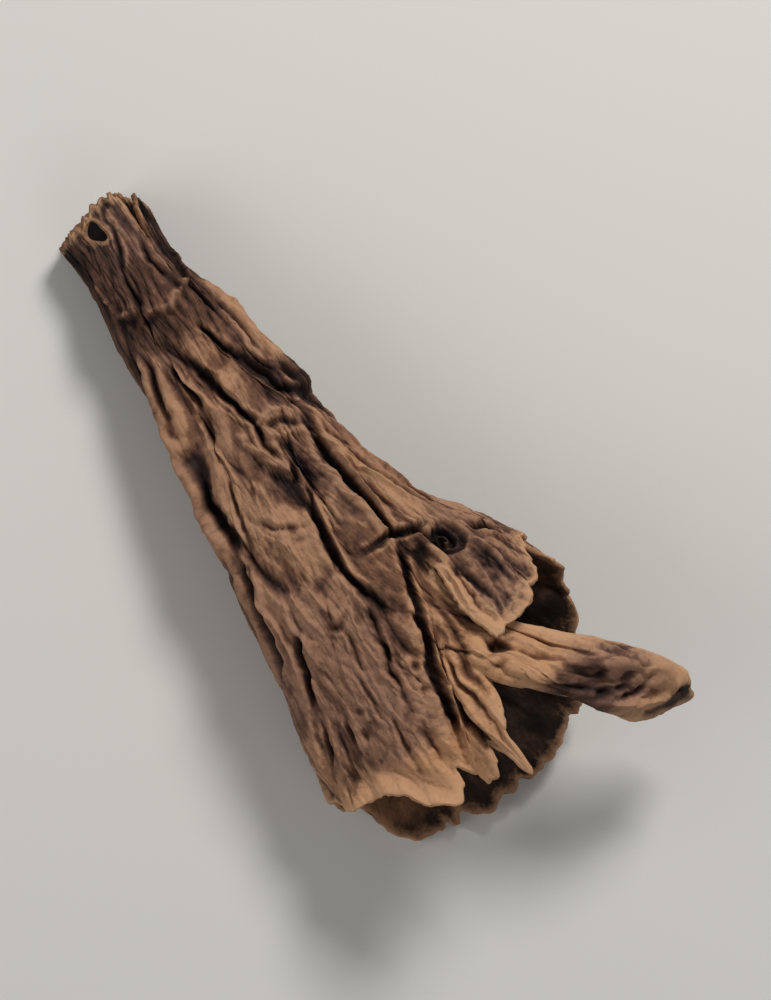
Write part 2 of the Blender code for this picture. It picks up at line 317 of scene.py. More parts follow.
@dataclass(frozen=True)
class TrumpetForm:
    """The trumpet's form, as in the solid: a narrow stem, a steady widening, a flare, a split.

    Lengths are in millimetres and angles in degrees. The neck is how much narrower the stem is
    all round and between which distances that fades. A flatness is the tube's height over its
    width. The margin's rows are an angle, the meridian's length there and its end's flare. The
    torn end's are an angle and the length missing. A pleat is its first angle, its angle at the
    margin, start, depth at the margin and half width. A crease is its first and last angle,
    start, end, depth and half width, and a negative depth makes it a raised fold. A fold is an
    angle, start, end, height, half width and the length of the drop at its end. A swell is an
    angle, a distance, a half width, a half length and a height. Dents are scattered from a
    distance on, their half widths and half lengths lie between two ends, and their heights
    spread. Whole are the angles between which the margin has hardly any tatters. The tatters and
    the ruffle are a height with the shortest and the longest of their waves, which hold where
    the angle is turned into a length with the mouth's or the torn end's radius. The power makes
    the margin's tatters pointed.
    """

    stem_half_width: float = 2.55
    neck: tuple[float, float, float] = (0.45, 3.5, 7.5)
    widening: float = 15.5
    widening_from: float = 3.0
    widening_to: float = 18.0
    flare_length: float = 8.0
    stem_flatness: float = 0.60
    body_flatness: float = 0.58
    mouth_flatness: float = 0.52
    flattening: tuple[float, float, float] = (0.40, 0.45, 0.95)
    length: float = 33.5
    side_bow: float = -0.9
    arch: float = 0.6
    mouth_lift: float = 3.0
    stem_end: float = 3.4
    split: Split = field(default_factory=Split)
    bend: Bend = field(default_factory=Bend)
    margin: Knots = (
        (56, 30.8, 11), (58, 32.6, 16), (61, 35.5, 20), (64.5, 36.2, 18), (68, 35.8, 13),
        (70.5, 35.2, 10), (72.5, 32.2, 8), (75, 30.4, 7), (79, 29.6, 6), (86, 31.4, 2),
        (88.5, 33.7, -2), (90.2, 32.2, 0), (92, 31.5, 4), (94.5, 32.5, 6), (98, 33.1, 6),
        (101, 33.1, 6), (105, 32.3, 6), (107.5, 31.4, 6), (110, 32.3, 6), (113.5, 32.9, 6),
        (119, 32.1, 5), (125, 31.0, 4), (131, 30.4, 3), (138, 30.3, 2), (146, 30.3, 6),
        (158, 30.2, 5), (168, 29.5, 4), (184, 27.8, 2), (208, 30.6, 10), (226, 33.6, -2),
        (250, 34.4, -8), (276, 34.2, -6), (292, 33.2, -2), (316, 30.6, 13), (342, 27.3, 11),
        (365, 24.8, 8), (388, 26.7, 8), (405, 27.5, 7), (416, 27.6, 6),
    )
    torn_end: Knots = (
        (0, 2.2), (20, 1.7), (35, 0.9), (45, 1.3), (52, 2.4), (57, 2.3), (63, 0.3), (78, 0.0),
        (90, 0.3), (96, 0.1), (120, 0.5), (180, 0.9), (230, 0.4), (290, 0.3), (330, 1.4),
        (360, 2.2),
    )
    pleats: Knots = (
        (44, 109, 16.0, 2.0, 0.85), (174, 188, 16.0, 0.9, 1.0), (250, 260, 11.5, 1.6, 1.5),
        (322, 318, 17.5, 1.2, 1.2),
    )
    creases: Knots = (
        (12, 8, 12.0, 22.0, -0.4, 1.4), (76, 34, 6.5, 14.0, 0.7, 0.55),
        (68, 98, 13.5, 23.5, 0.8, 0.6), (119, 120, 7.0, 16.0, 0.6, 0.5),
        (104, 84, 7.5, 13.5, 0.4, 0.5), (132, 152, 4.5, 21.0, -0.5, 0.6),
        (150, 164, 15.0, 25.5, 0.45, 0.7), (134, 158, 16.0, 29.5, -0.4, 0.6),
        (205, 214, 6.0, 24.0, 0.7, 0.9), (290, 282, 8.0, 27.0, 0.7, 0.9),
        (338, 342, 9.0, 24.0, 0.7, 1.0),
    )
    folds: Knots = ((13, 5.2, 13.2, 0.55, 1.4, 0.8),)
    swells: Knots = (
        (5, 4.3, 1.9, 1.5, -0.75), (5, 9.6, 1.8, 2.6, -0.38), (166, 0.6, 1.3, 1.1, 0.50),
        (400, 22.5, 0.9, 0.9, -0.40), (398, 24.8, 0.9, 0.9, 0.25), (71, 29.6, 1.2, 1.4, -0.22),
        (128, 17.5, 1.3, 3.0, 0.22), (76, 9.4, 1.1, 1.7, 0.18), (100, 12.8, 0.9, 2.0, 0.16),
        (72, 18.5, 0.8, 2.0, 0.20), (8, 17.5, 2.4, 2.4, -1.22), (6, 20.4, 2.2, 1.1, -0.52),
        (108, 27.0, 1.2, 2.6, 0.14), (148, 29.4, 0.9, 1.4, 0.22),
    )
    dents: int = 90
    dents_from: float = 2.0
    dent_half_widths: tuple[float, float] = (0.5, 1.4)
    dent_half_lengths: tuple[float, float] = (0.9, 3.6)
    dent_height: float = 0.15
    dent_seed: int = 41
    margin_tatter: tuple[float, float, float] = (0.26, 0.9, 5.0)
    tatter_power: float = 1.5
    tatter_seeds: tuple[int, int] = (11, 5)
    whole: tuple[float, float, float, float] = (104.0, 110.0, 172.0, 188.0)
    whole_share: float = 0.85
    stem_tatter: tuple[float, float, float] = (0.30, 0.6, 4.0)
    ruffle: tuple[float, float, float] = (0.30, 1.6, 6.5)
    ruffle_seed: int = 23
    ruffle_reach: float = 3.0
    mouth_radius: float = 8.0
    torn_radius: float = 9.0
    stem_rows: int = 30
    body_rows: int = 160
    mouth_rows: int = 116

    def reach(self, angle: Array) -> Array:
        """Length of the meridian at each angle, less the small tatters of the torn margin."""
        degrees = np.degrees(angle)
        height, *waves = self.margin_tatter
        tatter = np.abs(uneven(angle * self.mouth_radius, *waves, self.tatter_seeds[0]))
        whole = 1 - self.whole_share * between(self.whole, degrees)
        return eased(degrees, self.margin, 1) - height * whole * tatter**self.tatter_power

    def distances(self, angle: Array) -> Array:
        """Distance from the stem, in even steps to the stem's end, to the split and to the margin.

        Args:
            angle: One row of angles in radians.

        Returns:
            The distance for each row and column.
        """
        torn = eased(np.degrees(angle) % 360.0, self.torn_end, 1)
        height, *waves = self.stem_tatter
        tatter = np.abs(uneven(np.sin(angle) * self.torn_radius, *waves, self.tatter_seeds[1]))
        torn = torn + height * tatter
        ends = (torn, self.stem_end + 0 * torn, self.split.start + 0 * torn, self.reach(angle))
        steps = (self.stem_rows, self.body_rows, self.mouth_rows)
        parts = []
        for start, end, rows in zip(ends, ends[1:], steps):
            share = np.linspace(0.0, 1.0, rows + 1)[:, None]
            parts.append((start + (end - start) * share)[:-1])
        return np.vstack([*parts, ends[-1]])

    def meridians(self, along: Array, angle: Array) -> tuple[Array, Array]:
        """Place along the axis and radius: the running sums of the slope's cosine and sine.

        Args:
            along: Distance from the stem on the grid.
            angle: One row of angles in radians.

        Returns:
            The axial place and the radius on the grid.
        """
        flare = np.radians(eased(np.degrees(angle), self.margin, 2))
        bend = smoothstep(-self.flare_length, 0.0, along - along[-1:])
        widening = math.radians(self.widening)
        slope = widening * smoothstep(self.widening_from, self.widening_to, along) + flare * bend
        step = np.diff(along, axis=0)
        middle = (slope[1:] + slope[:-1]) / 2
        start = np.zeros_like(along[:1])
        axial = along[:1] + np.vstack([start, np.cumsum(np.cos(middle) * step, 0)])
        radius = self.stem_half_width + np.vstack([start, np.cumsum(np.sin(middle) * step, 0)])
        return axial, radius

    def pressed(self, along: Array, radius: Array, angle: Array) -> Array:
        """How far the pleats, creases and folds press in: Gaussian troughs along their lines.

        Args:
            along: Distance from the stem on the grid.
            radius: Radius on the grid.
            angle: Angle on the grid, in radians.

        Returns:
            The depth, negative where a fold is raised.
        """

        def trough(first: float, last: float, share: Array, half_width: float) -> Array:
            """A trough 1 deep whose angle goes evenly from first to last."""
            centre = np.radians(first + (last - first) * share)
            return np.exp(-0.5 * (radius * np.sin((angle - centre) / 2) * 2 / half_width) ** 2)

        inwards = np.zeros_like(radius)
        for first, last, start, depth, half_width in self.pleats:
            share = (along - start) / (self.length - start)
            deepening = smoothstep(0.0, 1.0, share)
            inwards += depth * deepening * trough(first, last, share, half_width)
        for first, last, start, end, depth, half_width in self.creases:
            share = np.clip((along - start) / (end - start), 0.0, 1.0)
            inwards += depth * np.sin(math.pi * share) * trough(first, last, share, half_width)
        for centre, start, end, height, half_width, drop in self.folds:
            rise = between((start, end - drop, end - drop, end), along)
            inwards -= height * rise * trough(centre, centre, 0.0 * along, half_width)
        return inwards

    def dented(self, along: Array, radius: Array, angle: Array) -> Array:
        """Height of the small swells, and of shallow dents scattered at random over the whole."""
        rng = np.random.default_rng(self.dent_seed)
        scattered = np.column_stack([
            rng.uniform(0.0, 360.0, self.dents),
            rng.uniform(self.dents_from, self.length, self.dents),
            rng.uniform(*self.dent_half_widths, self.dents),
            rng.uniform(*self.dent_half_lengths, self.dents),
            rng.normal(0.0, self.dent_height, self.dents),
        ])
        rows = (*self.swells, *(tuple(row) for row in scattered.tolist()))
        return spots(along, radius, angle, rows, 4)

    def sheet(self, degrees: Array) -> Sheet:
        """The middle of the wall: ellipses round a bowed, rising axis, one for each row.

        Args:
            degrees: The angle of each column, from the split round to it again.

        Returns:
            The sheet on its grid.
        """
        angle = np.radians(degrees)[None, :]
        along = self.distances(angle)
        axial, radius = self.meridians(along, angle)
        plain = radius
        angle = np.broadcast_to(angle, along.shape)
        to_margin = along - along[-1:]
        radius = plain - self.pressed(along, plain, angle) + self.dented(along, plain, angle)
        radius = radius - self.neck[0] * (1 - smoothstep(*self.neck[1:], along))
        height, *lengths = self.ruffle
        waves = np.tanh(uneven(angle * self.mouth_radius, *lengths, self.ruffle_seed))
        radius = radius + height * waves * smoothstep(-self.ruffle_reach, 0.0, to_margin) ** 2
        radius, turned = self.split.parted(along, radius, angle)
        share = axial / self.length
        body_from, body_to, mouth_from = self.flattening
        flatness = self.stem_flatness
        flatness = flatness + (self.body_flatness - flatness) * smoothstep(0.0, body_from, share)
        change = self.mouth_flatness - self.body_flatness
        flatness = flatness + change * smoothstep(body_to, mouth_from, share)
        bow = np.sin(math.pi * np.clip(share, 0.0, 1.0))
        across = radius * np.cos(turned) + self.side_bow * bow
        up = radius * flatness * np.sin(turned) + self.mouth_lift * share + self.arch * bow
        up += self.bend.height(along, to_margin, angle) - self.split.sagged(to_margin, angle)
        reach = np.broadcast_to(along[-1:], along.shape)
        split_row = self.stem_rows + self.body_rows
        return Sheet(np.stack([axial, across, up], -1), along, angle, plain, reach, split_row)


def noise(places: Array, seed: int) -> Array:
    """Perlin's gradient noise: slopes at unit cubes' corners, blended with 6t^5 - 15t^4 + 10t^3.

    Args:
        places: Places, three numbers each.
        seed: Chooses the pattern.

    Returns:
        Heights that mostly lie between -1 and 1.
    """
    rng = np.random.default_rng(seed)
    order = rng.permutation(NOISE_PERIOD)
    slopes = rng.normal(size=(NOISE_PERIOD, 3))
    slopes /= np.linalg.norm(slopes, axis=1, keepdims=True)
    cell = np.floor(places).astype(int)
    inside = places - cell
    share = inside**3 * (inside * (6 * inside - 15) + 10)
    total = np.zeros(places.shape[:-1])
    for corner in np.ndindex(2, 2, 2):
        x, y, z = np.moveaxis((cell + corner) % NOISE_PERIOD, -1, 0)
        slope = slopes[order[(order[(order[x] + y) % NOISE_PERIOD] + z) % NOISE_PERIOD]]
        weight = np.prod(np.where(corner, share, 1 - share), axis=-1)
        total += weight * ((inside - corner) * slope).sum(-1)
    return total * NOISE_GAIN


def wandering(sheet: Sheet, rows: Knots, seed: int) -> Array:
    """A sum of noises over the flesh.

    Args:
        sheet: The sheet.
        rows: Share and size of each noise.
        seed: Seed of the first, and the others' follow.

    Returns:
        The sum at each point.
    """
    return sum(share * noise(sheet.flesh / size, seed + number)
               for number, (share, size) in enumerate(rows))


@dataclass(frozen=True)
class Plates:
    """Plates of skin with narrow grooves between them, which part and fork as the flesh shrinks.

    Scattered centres own the points that are nearest to them, with lengths along the trumpet
    divided by the stretch. A groove follows the border between two plates: depth times
    exp(-distance / groove), where distance is (b^2 - a^2) / 2c for distances a and b to the two
    nearest centres, c apart. It is weighted with the share of c that lies round the trumpet, so
    that lengthwise grooves are the deep ones. Lengths are in millimetres.

    Attributes:
        size: Mean width of a plate.
        stretch: Its length over its width.
        depth: Depth of a groove.
        groove: Its half width.
        bulge: How far a plate's middle stands above its sides.
        step: Spread of the plates' own heights.
        seed: Chooses the pattern.
        FOOT: How far from a border a plate's bulge has risen by two thirds.
        WANDER: How far the borders wander, in widths of a plate.
        FINE: How much finer the second wander is, and its share.
        BREAKS: Between which heights of a noise the grooves appear.
        BREAK_SIZE: Size of that noise.
        ROUND: Rounding of a groove's foot.
        LEVEL: Brings the foot back to the full depth.
    """

    size: float
    stretch: float
    depth: float
    groove: float
    bulge: float
    step: float
    seed: int

    FOOT = 0.35
    WANDER = 0.42
    FINE = (3.1, 0.3)
    BREAKS = (-0.35, 0.45)
    BREAK_SIZE = (1.9, 1.9, 3.7)
    ROUND = 0.05
    LEVEL = 0.22

    def centres(self, sheet: Sheet, rng: np.random.Generator) -> Array:
        """Scatters the centres evenly over the trumpet.

        Args:
            sheet: The sheet that they are on.
            rng: The random numbers.

        Returns:
            Places in millimetres, compressed lengthwise.
        """
        along, radius = sheet.along.mean(1), sheet.radius.mean(1)
        passed = np.cumsum(radius * np.gradient(along))
        area = 2 * math.pi * passed[-1]
        count = round(area / (self.size**2 * self.stretch))
        place = np.interp(rng.uniform(0.0, passed[-1], count), passed, along)
        angle = rng.uniform(0.0, 2 * math.pi, count)
        around = np.interp(place, along, radius)
        return np.stack([around * np.cos(angle), around * np.sin(angle), place / self.stretch], -1)

    def relief(self, sheet: Sheet) -> tuple[Array, Array]:
        """Height of the plates on the sheet, and each point's own plate's random tone.

        Args:
            sheet: The sheet that they are on.

        Returns:
            Heights in millimetres, and tones between -1 and 1.
        """
        rng = np.random.default_rng(self.seed)
        centres = self.centres(sheet, rng)
        tone = rng.uniform(-1.0, 1.0, len(centres))
        places = sheet.flesh / (1.0, 1.0, self.stretch)
        finer, share = self.FINE
        wander = [noise(places / self.size, self.seed + axis) for axis in (1, 2)]
        fine = [noise(places * finer / self.size, self.seed + axis) for axis in (3, 4)]
        for axis in (0, 1):
            places[..., axis] += self.WANDER * self.size * (wander[axis] + share * fine[axis])
        nearest = np.full(places.shape[:-1], np.inf)
        second = nearest.copy()
        owner = np.zeros(nearest.shape, int)
        other = owner.copy()
        for number, centre in enumerate(centres):
            distance = ((places - centre) ** 2).sum(-1)
            first = distance < nearest
            later = ~first & (distance < second)
            second = np.where(first, nearest, np.where(later, distance, second))
            other = np.where(first, owner, np.where(later, number, other))
            nearest = np.where(first, distance, nearest)
            owner = np.where(first, number, owner)
        apart = centres[owner] - centres[other]
        gap = np.maximum(np.linalg.norm(apart, axis=-1), TINY)
        lengthwise = np.hypot(apart[..., 0], apart[..., 1]) / gap
        to_border = (second - nearest) / (2 * gap)
        shown = smoothstep(*self.BREAKS, noise(sheet.flesh / self.BREAK_SIZE, self.seed + 5))
        away = np.sqrt((to_border / self.groove) ** 2 + self.ROUND)
        height = -self.depth * lengthwise**2 * shown * np.exp(self.LEVEL - away)
        raised = 1 - np.exp(-to_border / self.FOOT)
        return height + (self.bulge + self.step * tone[owner]) * raised, tone[owner]


@dataclass(frozen=True)
class Creases:
    """Fine wrinkles: narrow grooves where stretched noise changes sign, so they fork and close.

    Attributes:
        size: Distance between them, round and along the trumpet, in millimetres.
        depth: Their depth in millimetres.
        width: The noise's height at which a groove has risen by two thirds.
        seed: Chooses the pattern.
        ROUGH: The depth's mean share and how far the noise changes it.
        ROUGH_SIZE: Size of that noise.
        ROUGH_ENDS: The least and the greatest share.
    """

    size: tuple[float, float]
    depth: float
    width: float
    seed: int

    ROUGH = (0.65, 0.6)
    ROUGH_SIZE = (2.3, 2.3, 3.1)
    ROUGH_ENDS = (0.1, 1.4)

    def relief(self, sheet: Sheet) -> Array:
        """Height: -depth * exp(-|noise| / width), the deeper the rougher the place is."""
        around, along = self.size
        value = noise(sheet.flesh / (around, around, along), self.seed)
        mean, change = self.ROUGH
        rough = mean + change * noise(sheet.flesh / self.ROUGH_SIZE, self.seed + 1)
        rough = np.clip(rough, *self.ROUGH_ENDS)
        return -self.depth * rough * np.exp(-np.abs(value) / self.width)


@dataclass(frozen=True)
class Furrow:
    """A single groove, or with a negative depth a ridge, along a line over the sheet.

    A groove has swollen lips beside it, a ridge has none.

    Attributes:
        depth: Greatest depth in millimetres.
        half_width: Half width in millimetres.
        line: Angle in degrees and distance from the stem of each of the line's points.
        LIP: The lips' height as a share of the depth, and their place and width in half widths.
        ROUND: Rounding of the foot.
        LEVEL: Brings the foot back to the full depth.
        END: Keeps the ends from being endless slopes.
        DEGREE_LENGTH: Length of a degree round the trumpet, for the share of the line passed.
    """

    depth: float
    half_width: float
    line: Knots

    LIP = (0.42, 2.3, 1.1)
    ROUND = 0.06
    LEVEL = 0.25
    END = 0.02
    DEGREE_LENGTH = 0.09

    @classmethod
    def from_row(cls, row: tuple[float, ...]) -> Furrow:
        """A furrow from its depth, its half width and its points' angles and distances in turn."""
        depth, half_width, *line = row
        return cls(depth, half_width, tuple(zip(line[::2], line[1::2])))

    def relief(self, sheet: Sheet, shift: Array) -> Array:
        """Height of the groove: a cusp exp(-(distance / half width)) with a rounded foot.

        The distance is to the nearest of the line's stretches, in millimetres on the sheet,
        and the depth tapers to both ends as the root of a sine. The lips are Gaussians.

        Args:
            sheet: The sheet that it is on.
            shift: How far the line wanders at each point, round the trumpet and along it.

        Returns:
            Heights in millimetres, negative in a groove.
        """
        nearest = np.full(sheet.along.shape, np.inf)
        place = np.zeros(sheet.along.shape)
        steps = np.diff(np.array(self.line), axis=0)
        lengths = np.hypot(steps[:, 0] * self.DEGREE_LENGTH, steps[:, 1])
        passed = np.concatenate([[0.0], np.cumsum(lengths)])
        for number, ((angle, along), step) in enumerate(zip(self.line, steps)):
            across = sheet.radius * turned_from(sheet.angle, angle) + shift[0]
            over = sheet.radius * math.radians(step[0])
            down = sheet.along - along + shift[1]
            share = (across * over + down * step[1]) / (over**2 + step[1] ** 2)
            share = np.clip(share, 0.0, 1.0)
            distance = np.hypot(across - share * over, down - share * step[1])
            closer = distance < nearest
            nearest = np.where(closer, distance, nearest)
            place = np.where(closer, passed[number] + share * lengths[number], place)
        taper = np.sqrt(np.sin(math.pi * np.clip(place / passed[-1], 0.0, 1.0)) + self.END)
        away = nearest / self.half_width
        groove = np.exp(self.LEVEL - np.sqrt(away**2 + self.ROUND))
        height, middle, width = self.LIP
        lips = height * (self.depth > 0) * np.exp(-(((away - middle) / width) ** 2))
        return -self.depth * taper * (groove - lips)


@dataclass(frozen=True)
class Ledge:
    """The wavy lower end of the stem's raised, rougher skin.

    Attributes:
        line: An angle in degrees and the ledge's distance from the stem there.
        shown: Between which angles it appears, is full, starts to fade and is gone.
        height: How far the skin above it is raised.
        lip: How much higher its very end is.
        lip_width: Length of the lip over that of the step.
        width: Length of the step, in millimetres.
        wave: How far it wanders, in millimetres.
        wander: Share and size of each noise that it wanders by.
    """

    line: Knots = (
        (0, 3.6), (38, 4.4), (44, 5.7), (60, 6.0), (76, 6.1), (87, 6.0), (105, 5.8), (121, 5.5),
        (136, 5.2), (142, 4.5), (147, 3.4), (154, 2.4), (200, 2.4), (300, 3.0), (360, 3.6),
    )
    shown: tuple[float, float, float, float] = (20.0, 44.0, 140.0, 156.0)
    height: float = 0.22
    lip: float = 0.34
    lip_width: float = 1.3
    width: float = 0.13
    wave: float = 0.28
    wander: tuple[tuple[float, float], ...] = ((1.0, 0.8), (0.5, 0.35))
    seed: int = 61

    def past(self, sheet: Sheet) -> Array:
        """Distance past the ledge, negative on the raised skin."""
        place = eased(np.degrees(sheet.angle) % 360.0, self.line, 1)
        return sheet.along - place + self.wave * wandering(sheet, self.wander, self.seed)

    def relief(self, sheet: Sheet) -> Array:
        """Height: an S-shaped step down, with a Gaussian lip just before it."""
        past = self.past(sheet)
        step = self.height * (1 - smoothstep(-self.width, self.width, past))
        lip = self.lip * np.exp(-(((past + self.width) / (self.lip_width * self.width)) ** 2))
        return (step + lip) * between(self.shown, np.degrees(sheet.angle) % 360.0)


@dataclass(frozen=True)
class Scroll:
    """A small round scroll of skin, rolled in a spiral within a sunken ring, in millimetres.

    Attributes:
        angle: Angle of its middle in degrees.
        along: Distance of its middle from the stem end.
        radius: Its radius.
        depth: How far it is sunk.
        turn: Height of the spiral's turns, and how far apart they are.
        rim: Height of the rim round it, and its place and width as shares of the radius.
    """

    angle: float = 400.0
    along: float = 22.55
    radius: float = 0.86
    depth: float = 0.42
    turn: tuple[float, float] = (0.20, 0.46)
    rim: tuple[float, float, float] = (0.22, 1.25, 0.22)

    def relief(self, sheet: Sheet) -> Array:
        """Height: -depth and turn * cos(2 pi r / pitch - bearing), both times exp(-(r/R)^4)."""
        across = sheet.radius * turned_from(sheet.angle, self.angle)
        down = sheet.along - self.along
        distance = np.hypot(across, down)
        share = distance / self.radius
        height, pitch = self.turn
        spiral = height * np.cos(2 * math.pi * distance / pitch - np.arctan2(down, across))
        rim_height, place, width = self.rim
        rim = rim_height * np.exp(-(((share - place) / width) ** 2))
        return (spiral - self.depth) * np.exp(-(share**4)) + rim


@dataclass(frozen=True)
class Hole:
    """A hole torn through the stem's upper wall. Lengths are in millimetres.

    Attributes:
        along: Distance of its middle from the stem end.
        angle: Angle of its middle in degrees.
        radius: Its mean radius.
        cleared: Radius within which the sheet's squares are left out.
        reach: How far round it the sheet is drawn towards it.
        easing: How steadily the sheet's points are drawn closer.
        waves: Heights of two and of three waves round its edge, as shares of the radius.
    """

    along: float = 1.3
    angle: float = 109.0
    radius: float = 0.52
    cleared: float = 0.34
    reach: float = 1.2
    easing: float = 1.5
    waves: tuple[float, float] = (0.16, 0.10)

    def distance(self, sheet: Sheet) -> Array:
        """Distance of the sheet's points from the hole's middle, in a list."""
        points = sheet.points.reshape(-1, 3)
        return np.linalg.norm(points - self.middle(sheet), axis=1)

    def middle(self, sheet: Sheet) -> Array:
        """The place of the hole's middle."""
        across = sheet.radius * turned_from(sheet.angle, self.angle)
        return sheet.points.reshape(-1, 3)[np.hypot(sheet.along - self.along, across).argmin()]

    def drawn(self, sheet: Sheet) -> tuple[Array, Array]:
        """Moves the sheet round the hole on to its edge, which is a wavy circle.

        A point in reach goes to edge + (reach - edge) * t^easing from the middle, where t is its
        share of the way from the cleared radius to the reach.

        Args:
            sheet: The sheet that it is in.

        Returns:
            The sheet's points in a list, and which of them are inside the cleared radius.
        """
        centre = self.middle(sheet)
        offset = sheet.points.reshape(-1, 3) - centre
        distance = np.linalg.norm(offset, axis=1)
        bearing = np.arctan2(offset[:, 1], offset[:, 0])
        two, three = self.waves
        edge = self.radius * (1 + two * np.sin(2 * bearing + 1) + three * np.sin(3 * bearing))
        share = np.clip((distance - self.cleared) / (self.reach - self.cleared), 0.0, 1.0)
        target = edge + (self.reach - edge) * share**self.easing
        target = np.where(distance < self.reach, target, distance)
        moved = centre + offset * (target / np.maximum(distance, TINY))[:, None]
        return moved, distance < self.cleared


@dataclass(frozen=True)
class Skin:
    """Points of one face of the wall, or of its edges, in a list, with what colours them.

    Attributes:
        points: Places in millimetres.
        relief: Shade from the height within the wrinkles, from 0 in a groove to 1 on a crest, that
            is painted shade in the grooves and a painted highlight on the crests, with the stains
            added.
        tan: How much of the flesh's tan shows, from 0 to 1.
        edge: Nearness to the margin or a torn edge, from 0 to 1.
        flesh: Places on the unpressed trumpet in millimetres.
    """

    points: Array
    relief: Array
    tan: Array
    edge: Array
    flesh: Array

    def part(self, chosen: Array) -> Skin:
        """The chosen points, in their order."""
        return Skin(*(getattr(self, item.name)[chosen] for item in fields(self)))


@dataclass(frozen=True)
class Piece:
    """One piece of the surface, before it is a mesh. Places are in millimetres.

    Attributes:
        name: Its name.
        skin: Its points and what colours them.
        cells: Four point numbers for each square.
        normal: A unit normal for each point, the same where two pieces meet.
    """

    name: str
    skin: Skin
    cells: Array
    normal: Array

    def to_object(self, material: bpy.types.Material) -> bpy.types.Object:
        """Puts the piece into a mesh object with its attributes, in metres.

        Args:
            material: What it is made of.

        Returns:
            The object, which is linked to the scene.
        """
        mesh = bpy.data.meshes.new(self.name)
        mesh.vertices.add(len(self.skin.points))
        mesh.vertices.foreach_set("co", (self.skin.points * MM).astype(np.float32).ravel())
        mesh.loops.add(self.cells.size)
        mesh.loops.foreach_set("vertex_index", self.cells.astype(np.int32).ravel())
        mesh.polygons.add(len(self.cells))
        mesh.polygons.foreach_set("loop_start", np.arange(0, self.cells.size, 4, dtype=np.int32))
        mesh.polygons.foreach_set("use_smooth", np.ones(len(self.cells), bool))
        mesh.update(calc_edges=True)
        mesh.normals_split_custom_set_from_vertices(self.normal.tolist())
        for name in ("relief", "edge", "tan"):
            attribute = mesh.attributes.new(name, "FLOAT", "POINT")
            attribute.data.foreach_set("value", getattr(self.skin, name).astype(np.float32))
        attribute = mesh.attributes.new("flesh", "FLOAT_VECTOR", "POINT")
        attribute.data.foreach_set("vector", self.skin.flesh.astype(np.float32).ravel())
        mesh.materials.append(material)
        piece = bpy.data.objects.new(self.name, mesh)
        bpy.context.scene.collection.objects.link(piece)
        return piece


class Tone(Enum):
    """Which of the flesh's tones a piece shows."""

    SKIN = "skin"
    LINING = "lining"
    TORN = "torn"


def gathered(vectors: Array, users: Array, count: int) -> Array:
    """Unit vectors along the sums of the vectors that belong to each point.

    Args:
        vectors: The vectors.
        users: Numbers of the points that each vector belongs to.
        count: The number of points.

    Returns:
        One unit vector for each point.
    """
    total = np.zeros((count, 3))
    for axis in range(3):
        weights = np.repeat(vectors[:, axis], users.shape[1])
        total[:, axis] = np.bincount(users.ravel(), weights, minlength=count)
    return total / np.maximum(np.linalg.norm(total, axis=1, keepdims=True), TINY)


def vertex_normals(points: Array, cells: Array) -> Array:
    """Unit normals of points: the sum of the area vectors of the squares that meet there.

    Args:
        points: Places.
        cells: Four point numbers for each square.

    Returns:
        One unit vector for each point.
    """
    a, b, c, d = (points[cells[:, corner]] for corner in range(4))
    return gathered(np.cross(c - a, d - b), cells, len(points))


def border_edges(cells: Array, count: int) -> Array:
    """Edges that only one square uses, in that square's direction.

    Args:
        cells: Four point numbers for each square.
        count: The number of points.

    Returns:
        Two point numbers for each edge.
    """
    edges = np.vstack([cells[:, [i, (i + 1) % 4]] for i in range(4)])
    code = edges[:, 0] * count + edges[:, 1]
    reverse = edges[:, 1] * count + edges[:, 0]
    return edges[~np.isin(code, reverse)]


@dataclass(frozen=True)
class Patch:
    """A part of the skin: a Gaussian of the angle, times a smooth rise with the distance.

    Attributes:
        angle: Angle of its middle in degrees.
        spread: Its spread in degrees.
        start: Distance from the stem at which it starts, in millimetres.
        full: Distance at which it is full.
    """

    angle: float
    spread: float
    start: float
    full: float

    def share(self, sheet: Sheet) -> Array:
        """How much each point belongs to it, from 0 to 1."""
        turn = (np.degrees(sheet.angle) - self.angle) / self.spread
        return np.exp(-(turn**2)) * smoothstep(self.start, self.full, sheet.along)


@dataclass(frozen=True)
class Shading:
    """How the skin's shade follows from its relief, as painted shade in the grooves and pits and a
    painted highlight on the crests. A shade goes from 0, the darkest, to 1.

    Attributes:
        plain: Shade of the smooth form.
        height: Height in millimetres that adds 1.
        plate: Share of a plate's own tone, for each millimetre of its size.
        tongue: How much less the height tells on the tongue, and how much lighter that is.
        stem: How much darker the stem is, and between which distances that fades.
        ledge: What a millimetre of the ledge's height adds, a painted highlight on its step and
            lip.
        skin: How much darker the stem's raised skin is.
    """

    plain: float = 0.70
    height: float = 0.45
    plate: float = 0.025
    tongue: tuple[float, float] = (0.45, 0.13)
    stem: tuple[float, float, float] = (0.24, 3.0, 17.0)
    ledge: float = 0.9
    skin: float = 0.10

    def shade(self, sheet: Sheet, relief: Array, plates: Array, tongue: Array) -> Array:
        """Shade before the streaks and the ledge.

        Args:
            sheet: The sheet that it is on.
            relief: Height in millimetres.
            plates: The plates' own tones.
            tongue: How much each point belongs to the tongue.

        Returns:
            The shade of each point.
        """
        less, lighter = self.tongue
        shade = self.plain + relief * (1 - less * tongue) / self.height + self.plate * plates
        shade = shade + lighter * tongue
        return shade - self.stem[0] * (1 - smoothstep(*self.stem[1:], sheet.along))


